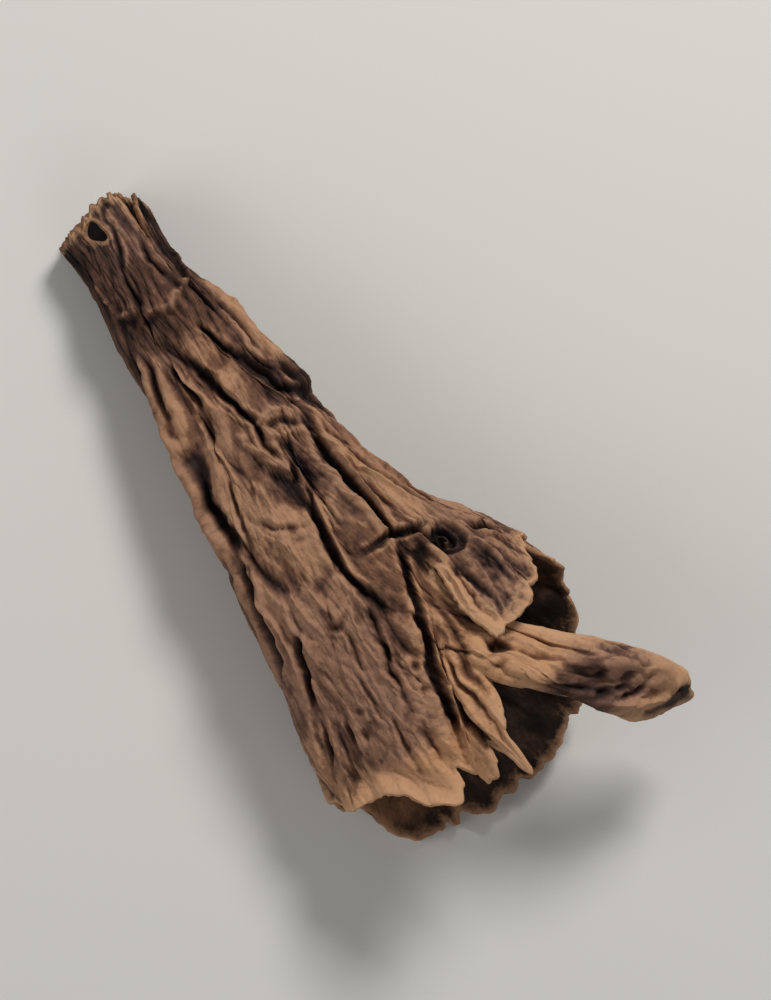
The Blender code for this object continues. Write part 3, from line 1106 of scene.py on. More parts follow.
@dataclass
class FruitBody:
    """The whole mushroom: its outer skin, the lining of the trumpet and its torn edges.

    Lengths are in millimetres and angles in degrees. The wall thins towards the margin and the
    torn stem end. The tongue is the calm upper wall between the grooves, down to the mouth, and
    the flank the smooth side next to it.

    Attributes:
        form: The smooth form.
        hole: The hole in the stem.
        ledge: The end of the stem's raised skin.
        scroll: The scroll on the flap.
        shading: How the shade follows from the relief.
        tongue: Where the tongue is.
        flank: Where the calm flank is.
        wall: The wall's thickness.
        edge_wall: Its thickness at an edge.
        bulge: How far its edges stand out.
        edge_rough: Share by which that varies, the size of the noise and its seed.
        edge_steps: Number of strips round an edge.
        thinning: How far from an edge the wall starts to thin.
        split_reach: How fast the distance from the split's sides grows below its start, and
            how far past the start that begins.
        pale_reach: How far from an edge the paleness has faded by two thirds.
        plain_tan: How much of the tan shows everywhere.
        rest_depth: How far the three low spots are pressed flat.
        rest_wall: Thickness left above the surface that it lies on.
        stem_rest_to: How far along its length the first low spot may be.
        mouth_rest_from: From where on the other two may be.
        deepest: Limit of the relief downwards.
        highest: Limit of the relief upwards.
        runs: Last angle and number of columns of each panel.
        plates: The plates of skin.
        creases: The fine wrinkles, from the coarsest.
        skin_fade: Half length over which the stem's skin gives way to the rest.
        calm: How much lower plates and creases are on the tongue, the share of that on the
            flank, and how much lower they are on the stem.
        stem_fine: How much deeper the creases are on the stem.
        stretched: How much lower the creases are where the skin is stretched, and the tan there.
        furrows: Depth and half width of each single groove, then its points' angles and
            distances in turn. A negative depth makes it a ridge.
        wander: Share and size of the noises that the furrows wander by.
        wander_seeds: Seeds of the wander round the trumpet and along it.
        pits: Angle, distance, half width, half length and height of each pit.
        pit_rim: Size of a pit's rim over the pit's, and its height over the pit's depth.
        streaks: Size round and along the trumpet of lengthwise streaks, and what they add.
        streak_height: Height of a streak that adds 1.
        streak_seed: Seed of the first streaks, and the others' follow.
        stains_and_painted_light: Angle, distance, half width, half length, how much tan each adds
            and how much it lightens the skin. Most are stains and tan; some paint highlights and
            shadows on the wing, the tongue's lip and the flap's scroll.
        fibres: Size round and along, and height, of the lining's fibrous wrinkles.
        lumps: The same of its lumps.
        scales: The same of its scales.
        lining_seed: Seed of the fibres, and the others' follow.
        lining_shade: Shade of the smooth lining, and the height that adds 1.
        lining_stains_and_painted_light: The lining's stains: a tan piece, painted light on the far
            wall's lining, and a darkening near the stem end underneath.
    """

    form: TrumpetForm = field(default_factory=TrumpetForm)
    hole: Hole = field(default_factory=Hole)
    ledge: Ledge = field(default_factory=Ledge)
    scroll: Scroll = field(default_factory=Scroll)
    shading: Shading = field(default_factory=Shading)
    tongue: Patch = Patch(122.0, 28.0, 19.0, 24.0)
    flank: Patch = Patch(150.0, 12.0, 10.0, 14.0)
    wall: float = 0.80
    edge_wall: float = 0.18
    bulge: float = 0.09
    edge_rough: tuple[float, float, int] = (0.7, 0.3, 17)
    edge_steps: int = 4
    thinning: float = 3.0
    split_reach: tuple[float, float] = (2.0, 1.0)
    pale_reach: float = 0.42
    plain_tan: float = 0.25
    rest_depth: float = 0.22
    rest_wall: float = 0.60
    stem_rest_to: float = 6.0
    mouth_rest_from: float = 20.0
    deepest: float = -0.70
    highest: float = 0.55
    runs: tuple[tuple[float, int], ...] = ((126.0, 265), (196.0, 165), (346.0, 150), (416.0, 165))
    plates: tuple[Plates, ...] = (
        Plates(size=2.3, stretch=4.2, depth=0.34, groove=0.15, bulge=0.10, step=0.07, seed=3),
        Plates(size=1.05, stretch=3.6, depth=0.17, groove=0.10, bulge=0.04, step=0.03, seed=28),
    )
    creases: tuple[Creases, ...] = (
        Creases(size=(0.85, 3.4), depth=0.12, width=0.14, seed=71),
        Creases(size=(0.50, 2.0), depth=0.12, width=0.20, seed=76),
        Creases(size=(0.28, 1.1), depth=0.085, width=0.24, seed=81),
        Creases(size=(0.17, 0.42), depth=0.040, width=0.35, seed=91),
    )
    skin_fade: float = 1.0
    calm: tuple[float, float, float] = (0.60, 0.8, 0.35)
    stem_fine: float = 0.5
    stretched: tuple[float, float] = (0.6, 0.6)
    wander: Knots = ((0.14, 1.1), (0.05, 0.4))
    wander_seeds: tuple[int, int] = (51, 53)
    furrows: Knots = (
        (0.44, 0.13, 120, 8.2, 116, 9.4, 106, 10.8),
        (0.48, 0.14, 96, 8.3, 91, 9.7, 85, 11.4, 80, 12.8, 87, 14.8),
        (0.36, 0.14, 70, 7.3, 56, 8.6, 48, 10.0), (0.36, 0.12, 30, 7.2, 29, 8.5, 35, 10.0),
        (0.56, 0.16, 46, 9.8, 39, 11.2, 36, 12.2, 24, 13.0),
        (0.36, 0.13, 133, 7.0, 139, 8.7, 140, 10.3, 140, 11.5), (0.52, 0.15, 78, 15.2, 82, 16.2),
        (0.66, 0.18, 79, 16.6, 87, 17.9, 91, 18.9, 94, 20.6, 90, 22.4, 88, 23.4),
        (0.66, 0.21, 39, 14.0, 47, 14.8, 51, 16.2, 55, 17.6, 58, 19.3, 59, 20.9),
        (0.58, 0.13, 80, 20.7, 65, 20.7, 51, 21.1, 38, 21.4),
        (0.66, 0.20, 60, 21.3, 70, 22.6, 80, 24.4, 88, 26.3, 95, 28.2, 105, 31.6),
        (0.72, 0.20, 136, 12.2, 139, 13.4, 141, 14.4, 139, 15.7, 135, 17.0),
        (0.76, 0.20, 137, 17.7, 138, 18.6, 141, 19.8, 144, 21.4, 149, 23.2),
        (0.60, 0.22, 152, 13.0, 153, 15.6, 152, 18.0),
        (0.62, 0.17, 128, 21.8, 133, 23.0, 138, 24.0, 143, 25.2),
        (0.22, 0.10, 108, 23.0, 111, 25.2), (0.22, 0.10, 99, 23.4, 100, 25.6),
        (0.22, 0.10, 114, 25.0, 116, 27.4), (0.22, 0.13, 103, 22.3, 109, 22.8, 115, 22.5),
        (0.30, 0.12, 92, 22.0, 97, 24.1, 102, 25.7, 106, 28.2),
        (0.34, 0.13, 106, 28.6, 108, 30.2, 109, 31.6),
        (0.28, 0.12, 112, 27.8, 115, 29.6, 114, 30.9), (0.24, 0.10, 143, 26.0, 148, 28.0),
        (0.24, 0.10, 130, 26.4, 133, 28.4), (0.20, 0.10, 136, 26.6, 140, 29.0),
        (0.44, 0.13, 82, 0.1, 83, 0.9), (0.52, 0.15, 53, 0.6, 55, 1.9, 57, 3.0),
        (0.30, 0.11, 86, 1.4, 95, 2.6, 104, 3.4), (0.28, 0.11, 66, 2.4, 71, 3.8, 66, 5.0),
        (0.50, 0.16, 384, 22.8, 379, 23.4, 374, 24.2),
        (0.30, 0.12, 409, 23.8, 407, 25.0, 406, 26.0),
        (0.36, 0.09, 411.5, 23.6, 411, 24.8, 411.5, 26.2, 413, 27.2),
        (0.26, 0.09, 405, 25.4, 407, 26.4, 410, 27.2),
        (-0.20, 0.09, 396, 26.3, 402, 26.9, 409, 27.0), (0.26, 0.10, 390, 25.6, 392, 26.4),
        (0.26, 0.11, 393, 23.4, 395, 24.8, 398, 26.2), (-0.20, 0.12, 387, 23.8, 388, 25.2),
        (-0.16, 0.12, 401, 23.8, 402, 25.4, 401, 26.6),
        (0.56, 0.15, 91, 28.4, 92, 30.2, 92, 31.8), (0.34, 0.10, 82, 26.8, 86, 29.6, 88.2, 32.6),
        (0.26, 0.10, 78, 26.6, 81, 28.2, 82, 29.6), (0.30, 0.10, 60, 27.2, 61, 29.4, 61, 31.4),
        (-0.20, 0.10, 64, 27.6, 65, 29.4, 64.5, 31.2),
        (0.24, 0.09, 67.5, 27.2, 68, 28.6, 67, 30.2), (0.22, 0.11, 74, 24.0, 84, 26.6, 95, 29.6),
        (0.24, 0.11, 68, 24.5, 77, 27.2, 82, 29.0), (0.26, 0.10, 78, 13.1, 60, 13.4, 44, 14.2),
        (-0.30, 0.12, 86, 13.0, 70, 12.7, 56, 12.9, 44, 13.6),
        (-0.22, 0.13, 82, 13.5, 59, 14.0, 43, 15.0), (-0.18, 0.11, 82, 2.2, 92, 3.1, 101, 3.7),
        (-0.18, 0.11, 59, 2.8, 64, 3.7, 58, 5.1),
        (-0.36, 0.12, 24, 6.2, 19, 7.6, 21, 9.0, 25, 9.8, 22, 10.9),
        (-0.20, 0.10, 28, 7.6, 33, 9.2, 39, 10.4), (-0.26, 0.13, 126, 7.3, 135, 9.3, 137, 10.9),
        (-0.38, 0.15, 138, 7.0, 142, 8.4, 143, 10.2, 143, 13.2, 146, 15.4, 145, 17.3, 144, 18.4),
        (-0.40, 0.14, 144, 18.2, 150, 19.8, 154, 21.4, 158, 23.4),
        (-0.42, 0.12, 134, 17.4, 138, 19.0, 134, 20.8, 137, 22.6, 140, 23.6, 145, 25.2),
        (-0.28, 0.15, 131, 18.2, 126, 20.3, 126, 22.9, 128, 24.8),
        (-0.26, 0.13, 146, 25.4, 151, 26.8, 154, 28.6),
        (-0.24, 0.13, 139, 26.2, 144, 28.3, 143, 29.8), (-0.18, 0.12, 126, 26.0, 128, 28.2),
        (-0.30, 0.11, 57, 16.4, 61, 18.7, 63, 20.6),
        (-0.34, 0.11, 44, 15.8, 49, 17.4, 53, 19.0, 57, 20.5),
        (0.26, 0.11, 116, 16.6, 107, 17.4, 97, 18.0),
        (-0.24, 0.10, 125, 17.8, 117, 17.3, 110, 17.9, 109, 18.9),
        (-0.18, 0.11, 111, 19.0, 111, 20.8, 109, 22.5),
        (-0.16, 0.11, 119, 19.2, 121, 20.8, 118, 22.6),
        (0.24, 0.11, 122, 14.2, 126, 15.8, 126, 17.2),
        (-0.26, 0.10, 116, 8.2, 109, 9.4, 101, 10.9, 92, 12.2),
        (-0.20, 0.11, 112, 11.4, 112, 13.2, 116, 15.0),
        (-0.20, 0.11, 126, 10.8, 128, 12.6, 131, 14.6),
        (-0.20, 0.11, 97, 12.6, 90, 14.0, 84, 15.2),
        (-0.30, 0.16, 43, 15.0, 39, 17.2, 36, 19.4, 29, 21.2),
        (0.30, 0.11, 34, 14.6, 30, 17.0, 26, 19.2, 24, 21.2),
        (-0.34, 0.12, 22, 14.2, 20, 16.6, 16, 19.0, 14, 21.4),
        (0.28, 0.11, 12, 14.0, 10, 17.0, 6, 20.0), (-0.26, 0.12, 2, 13.8, 0, 17.0, -4, 20.6),
        (-0.16, 0.14, 102, 22.1, 104, 24.1, 105, 26.6),
        (-0.18, 0.14, 116, 23.8, 120, 25.4, 121, 27.2),
        (-0.15, 0.12, 109, 25.3, 111, 27.0, 109, 28.6),
        (-0.18, 0.12, 93, 24.6, 96, 25.9, 102, 28.2),
        (-0.16, 0.16, 105, 14.2, 104, 16.3, 108, 17.8, 107, 19.4, 111, 21.0),
        (-0.36, 0.10, 414.4, 23.2, 413.6, 24.6, 413.8, 26.0),
        (-0.16, 0.10, 79, 29.2, 75, 29.7, 67, 30.3, 62, 31.4, 58, 31.8),
        (-0.70, 0.12, 60.5, 33.6, 63, 34.9, 66, 34.9, 69, 34.2, 71, 32.9),
    )
    pits: Knots = (
        (70, 28.0, 0.30, 0.30, -1.20), (116, 11.9, 0.26, 0.50, -0.55),
        (74, 28.7, 0.16, 0.16, -0.30), (64.2, 32.8, 0.14, 0.18, -0.50),
        (65.8, 33.7, 0.15, 0.14, -0.60), (63.2, 33.7, 0.12, 0.15, -0.50),
        (67.0, 33.0, 0.14, 0.14, -0.52), (68.4, 33.6, 0.12, 0.15, -0.50),
        (69.2, 32.7, 0.10, 0.16, -0.45), (65.2, 31.9, 0.12, 0.15, -0.36),
        (126, 27.7, 0.20, 0.24, -0.42), (141, 29.0, 0.18, 0.30, -0.42),
        (98, 27.5, 0.16, 0.18, -0.36), (95, 26.3, 0.14, 0.16, -0.34),
        (122, 26.6, 0.14, 0.20, -0.34), (41, 17.3, 0.20, 0.30, -0.36),
        (52, 28.2, 0.25, 0.25, -0.40),
    )
    pit_rim: tuple[float, float] = (1.9, 0.38)
    streaks: Knots = ((0.42, 3.0, 0.24), (0.95, 6.5, 0.16), (0.22, 1.6, 0.14))
    streak_height: float = 0.15
    streak_seed: int = 101
    # Stains and tan, and among them painted highlights and shadows, marked below.
    stains_and_painted_light: Knots = (
        (68, 23.8, 1.9, 3.2, 0.50, 0.06), (86, 28.0, 1.5, 2.6, 0.50, 0.02),
        (66, 28.4, 1.6, 1.3, 0.65, 0.20), (75, 28.6, 1.0, 0.8, 0.45, 0.14),
        (72, 31.8, 0.9, 1.0, -0.40, 0.00), (67, 32.4, 1.2, 1.3, -0.45, -0.04),
        # These two lighten the wing where the relief's painted shade went black.
        (67, 31.2, 0.7, 0.9, 0.10, 0.55), (68, 32.2, 0.6, 0.6, 0.10, 0.30),
        # Painted highlights along the wing's ridge.
        (73.5, 29.9, 0.22, 0.6, 0.50, 0.60), (69.5, 29.9, 0.3, 0.7, 0.40, 0.45),
        # The light rows on this line and the next paint a highlight along the wing's rim.
        (60, 31.8, 0.4, 1.0, -0.30, -0.06), (61.5, 33.8, 0.35, 0.6, 0.55, 0.50),
        (66, 34.8, 0.9, 0.26, 0.60, 0.60), (69.5, 34.0, 0.35, 0.5, 0.55, 0.50),
        (67, 35.5, 1.0, 0.20, -0.20, -0.10), (87.5, 31.4, 0.25, 1.7, 0.45, 0.40),
        # The second row paints shadow over the wing's lower half.
        (388, 24.8, 0.6, 0.9, -0.10, -0.06), (71, 32.4, 0.55, 1.5, -0.30, -0.60),
        (405, 23.9, 0.4, 0.5, -0.20, -0.20), (408, 26.2, 0.8, 0.9, -0.25, -0.14),
        # The second row here and the first on the next line add tan and a painted highlight on the
        # tongue's curled lip.
        (118, 25.2, 3.0, 3.0, -0.42, 0.10), (130, 30.3, 4.4, 0.55, 0.75, 0.40),
        (112, 32.3, 1.2, 1.0, 0.70, 0.34), (101, 31.2, 0.9, 1.2, 0.50, 0.10),
        (76, 9.4, 1.1, 1.7, 0.30, 0.10), (38, 17.6, 0.5, 2.3, 0.40, 0.14),
        (42, 17.9, 0.35, 0.5, -0.10, -0.34), (28, 20.6, 0.5, 1.0, -0.10, -0.24),
        (20, 7.4, 0.25, 1.2, 0.35, 0.40), (23, 9.8, 0.25, 1.0, 0.35, 0.40),
        (134, 10.6, 0.5, 0.8, 0.30, 0.20), (122, 14.0, 1.4, 3.0, 0.10, 0.04),
        # Painted shade in the scroll's sunken ring, and a painted highlight on its core.
        (400, 22.5, 0.9, 0.9, -0.30, -0.10), (401, 22.8, 0.15, 0.15, 0.60, 0.60),
        (400, 25.2, 1.3, 1.3, -0.05, -0.10), (412, 25.6, 0.25, 1.6, 0.40, 0.40),
        (386, 25.2, 0.3, 1.0, 0.30, 0.30), (90, 2.6, 3.0, 2.2, -0.20, -0.06),
        (97, 17.0, 0.4, 0.5, 0.20, 0.25), (77, 17.8, 0.35, 0.6, 0.20, 0.30),
        (32, 19.4, 0.5, 1.0, 0.25, 0.24), (121, 15.4, 0.4, 0.6, 0.15, 0.20),
        (148, 28.6, 1.6, 2.0, 0.30, 0.16), (106, 20.0, 1.6, 2.0, 0.20, 0.06),
        (118, 19.3, 0.8, 0.8, 0.05, 0.26), (91, 14.0, 0.8, 0.7, 0.05, 0.14),
    )
    fibres: tuple[float, float, float] = (0.45, 1.6, 0.05)
    lumps: tuple[float, float, float] = (1.3, 2.2, 0.13)
    scales: tuple[float, float, float] = (0.8, 1.2, 0.08)
    lining_seed: int = 31
    lining_shade: tuple[float, float] = (0.55, 0.35)
    lining_stains_and_painted_light: Knots = (
        # Tan on the lower wall's crumpled piece, painted light on the far wall's lining, and
        # darker near the stem end underneath.
        (212, 31.2, 2.4, 1.5, 0.75, 0.45), (350, 27.2, 2.4, 1.8, 0.30, 0.35),
        (270, 1.5, 4.0, 3.5, -0.30, -0.60),
    )

    def __post_init__(self) -> None:
        """Works out the sheet, its squares and both faces of the wall."""
        first = self.form.split.angle
        parts = []
        for last, count in self.runs:
            parts.append(np.linspace(first, last, count, endpoint=False))
            first = last
        self.sheet = self.form.sheet(np.concatenate([*parts, [first]]))
        points, self.cleared = self.hole.drawn(self.sheet)
        self.every = self.kept(self.sheet.cells(0, self.sheet.along.shape[1] - 1))
        normal = vertex_normals(points, self.every)
        relief, shade = self.relief()
        inside, inner_shade = self.lining()
        to_edge = self.to_edge()
        thin = 1 - smoothstep(0.0, self.thinning, to_edge)
        half = (self.wall + (self.edge_wall - self.wall) * thin)[:, None] / 2
        outer = points + normal * (half + (relief * (1 - 0.5 * thin))[:, None])
        inner = points - normal * (half - inside[:, None])
        outer, inner = self.laid_down(outer, inner, np.unique(self.every))
        edge = np.exp(-to_edge / self.pale_reach)
        flesh = self.sheet.flesh.reshape(-1, 3)
        self.outer = Skin(outer, *self.with_stains_and_painted_light(self.stains_and_painted_light, shade), edge, flesh)
        self.inner = Skin(inner, *self.with_stains_and_painted_light(self.lining_stains_and_painted_light, inner_shade), edge, flesh)
        self.outer_normal = vertex_normals(outer, self.every)
        self.inner_normal = -vertex_normals(inner, self.every)

    def with_stains_and_painted_light(self, rows: Knots, shade: Array) -> tuple[Array, Array]:
        """Adds the stains, with their painted highlights and shadows, to a face.

        Args:
            rows: The stains.
            shade: The shade of each point.

        Returns:
            The shade with the stains, and how much of the tan shows, both from 0 to 1.
        """
        sheet = self.sheet
        place = (sheet.along, sheet.radius, sheet.angle, rows)
        tan, light = (spots(*place, column).ravel() for column in (4, 5))
        return np.clip(shade + light, 0.0, 1.0), np.clip(self.plain_tan + tan, 0.0, 1.0)

    def kept(self, cells: Array) -> Array:
        """The squares with no corner inside the hole."""
        return cells[~self.cleared[cells].any(1)]

    def to_edge(self) -> Array:
        """Distance of each point from the margin, the split's sides, the stem end or the hole."""
        sheet = self.sheet
        start = math.radians(self.form.split.angle)
        side = np.minimum(sheet.angle - start, start + 2 * math.pi - sheet.angle) * sheet.radius
        growth, past = self.split_reach
        side += growth * np.maximum(self.form.split.start + past - sheet.along, 0.0)
        ends = np.minimum(sheet.reach - sheet.along, sheet.along - sheet.along[:1])
        hole = self.hole.distance(sheet) - self.hole.cleared
        return np.maximum(np.minimum(np.minimum(ends, side).ravel(), hole), 0.0)

    def relief(self) -> tuple[Array, Array]:
        """The outer skin's wrinkles: plates, fine creases, single furrows and the stem's ledge.

        Returns:
            The height over the smooth form in millimetres, and the shade from 0 to 1, which paints
            shade in the grooves and pits and highlights on the crests.
        """
        sheet = self.sheet
        total = np.zeros(sheet.along.shape)
        tone = np.zeros(sheet.along.shape)
        tongue = self.tongue.share(sheet)
        stem = 1 - smoothstep(-self.skin_fade, self.skin_fade, self.ledge.past(sheet))
        on_tongue, on_flank, on_stem = self.calm
        calmed = np.maximum(tongue, on_flank * self.flank.share(sheet))
        calm = (1 - on_tongue * calmed) * (1 - on_stem * stem)
        for plates in self.plates:
            height, own = plates.relief(sheet)
            total += height * calm
            tone += own * plates.size
        lower, full_tan = self.stretched
        tan = spots(sheet.along, sheet.radius, sheet.angle, self.stains_and_painted_light, 4)
        fine = (1 + self.stem_fine * stem) * (1 - lower * np.clip(tan / full_tan, 0.0, 1.0)) * calm
        total += sum(crease.relief(sheet) for crease in self.creases) * fine
        shift = np.stack([wandering(sheet, self.wander, seed) for seed in self.wander_seeds])
        total += sum(Furrow.from_row(row).relief(sheet, shift) for row in self.furrows)
        total += self.scroll.relief(sheet)
        size, height = self.pit_rim
        rims = tuple((*place, width * size, length * size, -depth * height)
                     for *place, width, length, depth in self.pits)
        total += spots(sheet.along, sheet.radius, sheet.angle, self.pits + rims, 4)
        # Painted shade in the grooves and pits and a painted highlight on the crests, from the
        # height.
        shade = self.shading.shade(sheet, total, tone, tongue)
        for number, (around, along, weight) in enumerate(self.streaks):
            streak = noise(sheet.flesh / (around, around, along), self.streak_seed + number)
            shade += weight * streak
            total += self.streak_height * weight * streak
        ledge = self.ledge.relief(sheet)
        total += ledge
        # Painted highlight on the ledge's raised step and lip.
        shade += self.shading.ledge * ledge - self.shading.skin * stem
        return np.clip(total, self.deepest, self.highest).ravel(), np.clip(shade, 0, 1).ravel()

    def lining(self) -> tuple[Array, Array]:
        """The inner face: low fibrous wrinkles, lumps and scales.

        Returns:
            The height over the smooth form in millimetres, and the shade from 0 to 1, painted
            darker in its low places.
        """
        heights = []
        for number, (around, along, height) in enumerate((self.fibres, self.lumps, self.scales)):
            places = self.sheet.flesh / (around, around, along)
            heights.append(height * noise(places, self.lining_seed + number))
        fibres, lumps, scales = heights
        total = fibres + lumps - np.abs(scales)
        # Painted shade: the lining is darker where it lies lower.
        plain, full = self.lining_shade
        return total.ravel(), np.clip(plain + total / full, 0.0, 1.0).ravel()

    def laid_down(self, outer: Array, inner: Array, used: Array) -> tuple[Array, Array]:
        """Tips both faces on to three low spots, presses those flat and centres the whole.

        The plane through the three spots is taken off every height.

        Args:
            outer: The outer face's points.
            inner: The inner face's points.
            used: The numbers of the points that are in use.

        Returns:
            Both faces in place, in millimetres.
        """
        places = outer[used]
        axis = self.form.side_bow / 2
        stem = places[:, 0] < self.stem_rest_to
        mouth = places[:, 0] > self.mouth_rest_from
        lowest = []
        for chosen in (stem, mouth & (places[:, 1] > axis), mouth & (places[:, 1] < axis)):
            lowest.append(places[np.flatnonzero(chosen)[places[chosen, 2].argmin()]])
        lowest = np.array(lowest)
        plane = np.linalg.solve(np.column_stack([lowest[:, :2], np.ones(3)]), lowest[:, 2])
        low = np.inf
        for face in (outer, inner):
            face[:, 2] -= face[:, :2] @ plane[:2] + plane[2]
            low = min(low, face[used, 2].min())
        middle = (outer[used, :2].min(0) + outer[used, :2].max(0)) / 2
        for face, floor in ((outer, 0.0), (inner, self.rest_wall)):
            face[:, 2] = np.maximum(face[:, 2] - low - self.rest_depth, floor)
            face[:, :2] -= middle
        return outer, inner

    def face(self, name: str, first: int, last: int, inside: bool) -> Piece:
        """One piece of a face of the wall, between two columns.

        Args:
            name: The piece's name.
            first: The column that it starts at.
            last: The column that it ends at.
            inside: Whether it is the lining, which faces the other way.

        Returns:
            The piece.
        """
        cells = self.kept(self.sheet.cells(first, last))
        used = np.unique(cells)
        cells = np.searchsorted(used, cells)
        if inside:
            return Piece(name, self.inner.part(used), cells[:, ::-1], self.inner_normal[used])
        return Piece(name, self.outer.part(used), cells, self.outer_normal[used])

    def edges(self, name: str) -> Piece:
        """The wall's edges: at the margin, the split, the torn end and the hole.

        Each is a strip over the border from the outer to the inner face. Its section is half
        an ellipse: the middle, plus half the wall times the cosine, plus the outward
        direction times the bulge and the sine.

        Args:
            name: The piece's name.

        Returns:
            The piece.
        """
        count = len(self.outer.points)
        edges = border_edges(self.every, count)
        used = np.unique(edges)
        places = np.searchsorted(used, edges)
        outer, inner = self.outer.points[used], self.inner.points[used]
        middle, half = (outer + inner) / 2, (outer - inner) / 2
        run = middle[places[:, 1]] - middle[places[:, 0]]
        away = gathered(np.cross(run, half[places].sum(1)), places, len(used))
        share, size, seed = self.edge_rough
        rough = 1 + share * noise(self.outer.flesh[used] / size, seed)[:, None]
        bulge = np.minimum(np.linalg.norm(half, axis=1, keepdims=True), self.bulge) * rough
        turns = np.linspace(0.0, math.pi, self.edge_steps + 1)[:, None, None]
        points = middle + half * np.cos(turns) + away * bulge * np.sin(turns)
        points[..., 2] = np.maximum(points[..., 2], 0.0)
        after = places + len(used)
        layer = (np.arange(self.edge_steps) * len(used))[:, None, None]
        strip = np.stack([places[:, 1], places[:, 0], after[:, 0], after[:, 1]], -1)
        cells = (strip[None] + layer).reshape(-1, 4)
        skin = self.outer.part(np.tile(used, self.edge_steps + 1))
        skin = replace(skin, points=points.reshape(-1, 3))
        return Piece(name, skin, cells, vertex_normals(skin.points, cells))

    def pieces(self) -> dict[Tone, list[Piece]]:
        """The mushroom's pieces, by the tone of flesh that they show."""
        ends = [0, *np.cumsum([count for _, count in self.runs]).tolist()]
        spans = list(zip(ends, ends[1:]))
        skins = ("upper_panel", "left_flank", "underside", "split_shoulder")
        linings = ("upper_lining", "left_lining", "lower_lining", "shoulder_lining")
        return {
            Tone.SKIN: [self.face(name, *span, False) for name, span in zip(skins, spans)],
            Tone.LINING: [self.face(name, *span, True) for name, span in zip(linings, spans)],
            Tone.TORN: [self.edges("torn_edges")],
        }


def hex_colour(code: str) -> Colour:
    """Turns an sRGB hex colour to linear: below 0.04045 over 12.92, else the 2.4 power curve.

    Args:
        code: Six hex digits after a hash.

    Returns:
        Linear red, green and blue, and an alpha of 1.
    """
    parts = [int(code[start:start + 2], 16) / 255 for start in (1, 3, 5)]
    linear = [p / 12.92 if p <= 0.04045 else ((p + 0.055) / 1.055) ** 2.4 for p in parts]
    return (*linear, 1.0)


def add_node(tree: bpy.types.NodeTree, kind: str, inputs: Optional[dict[Any, Any]] = None,
             **settings: Any) -> bpy.types.Node:
    """Adds a node with its settings, its input values and the links into it.

    Args:
        tree: The node tree.
        kind: The node's type name.
        inputs: By input name or number, a value or the output socket that feeds it.
        settings: Properties of the node. stops sets a colour ramp's places and hex colours.

    Returns:
        The new node.
    """
    node = tree.nodes.new(kind)
    stops = settings.pop("stops", ())
    for name, value in settings.items():
        setattr(node, name, value)
    for number, (place, colour) in enumerate(stops):
        elements = node.color_ramp.elements
        element = elements[number] if number < 2 else elements.new(place)
        element.position = place
        element.color = hex_colour(colour)
    for name, value in (inputs or {}).items():
        if isinstance(value, bpy.types.NodeSocket):
            tree.links.new(value, node.inputs[name])
        else:
            node.inputs[name].default_value = value
    return node


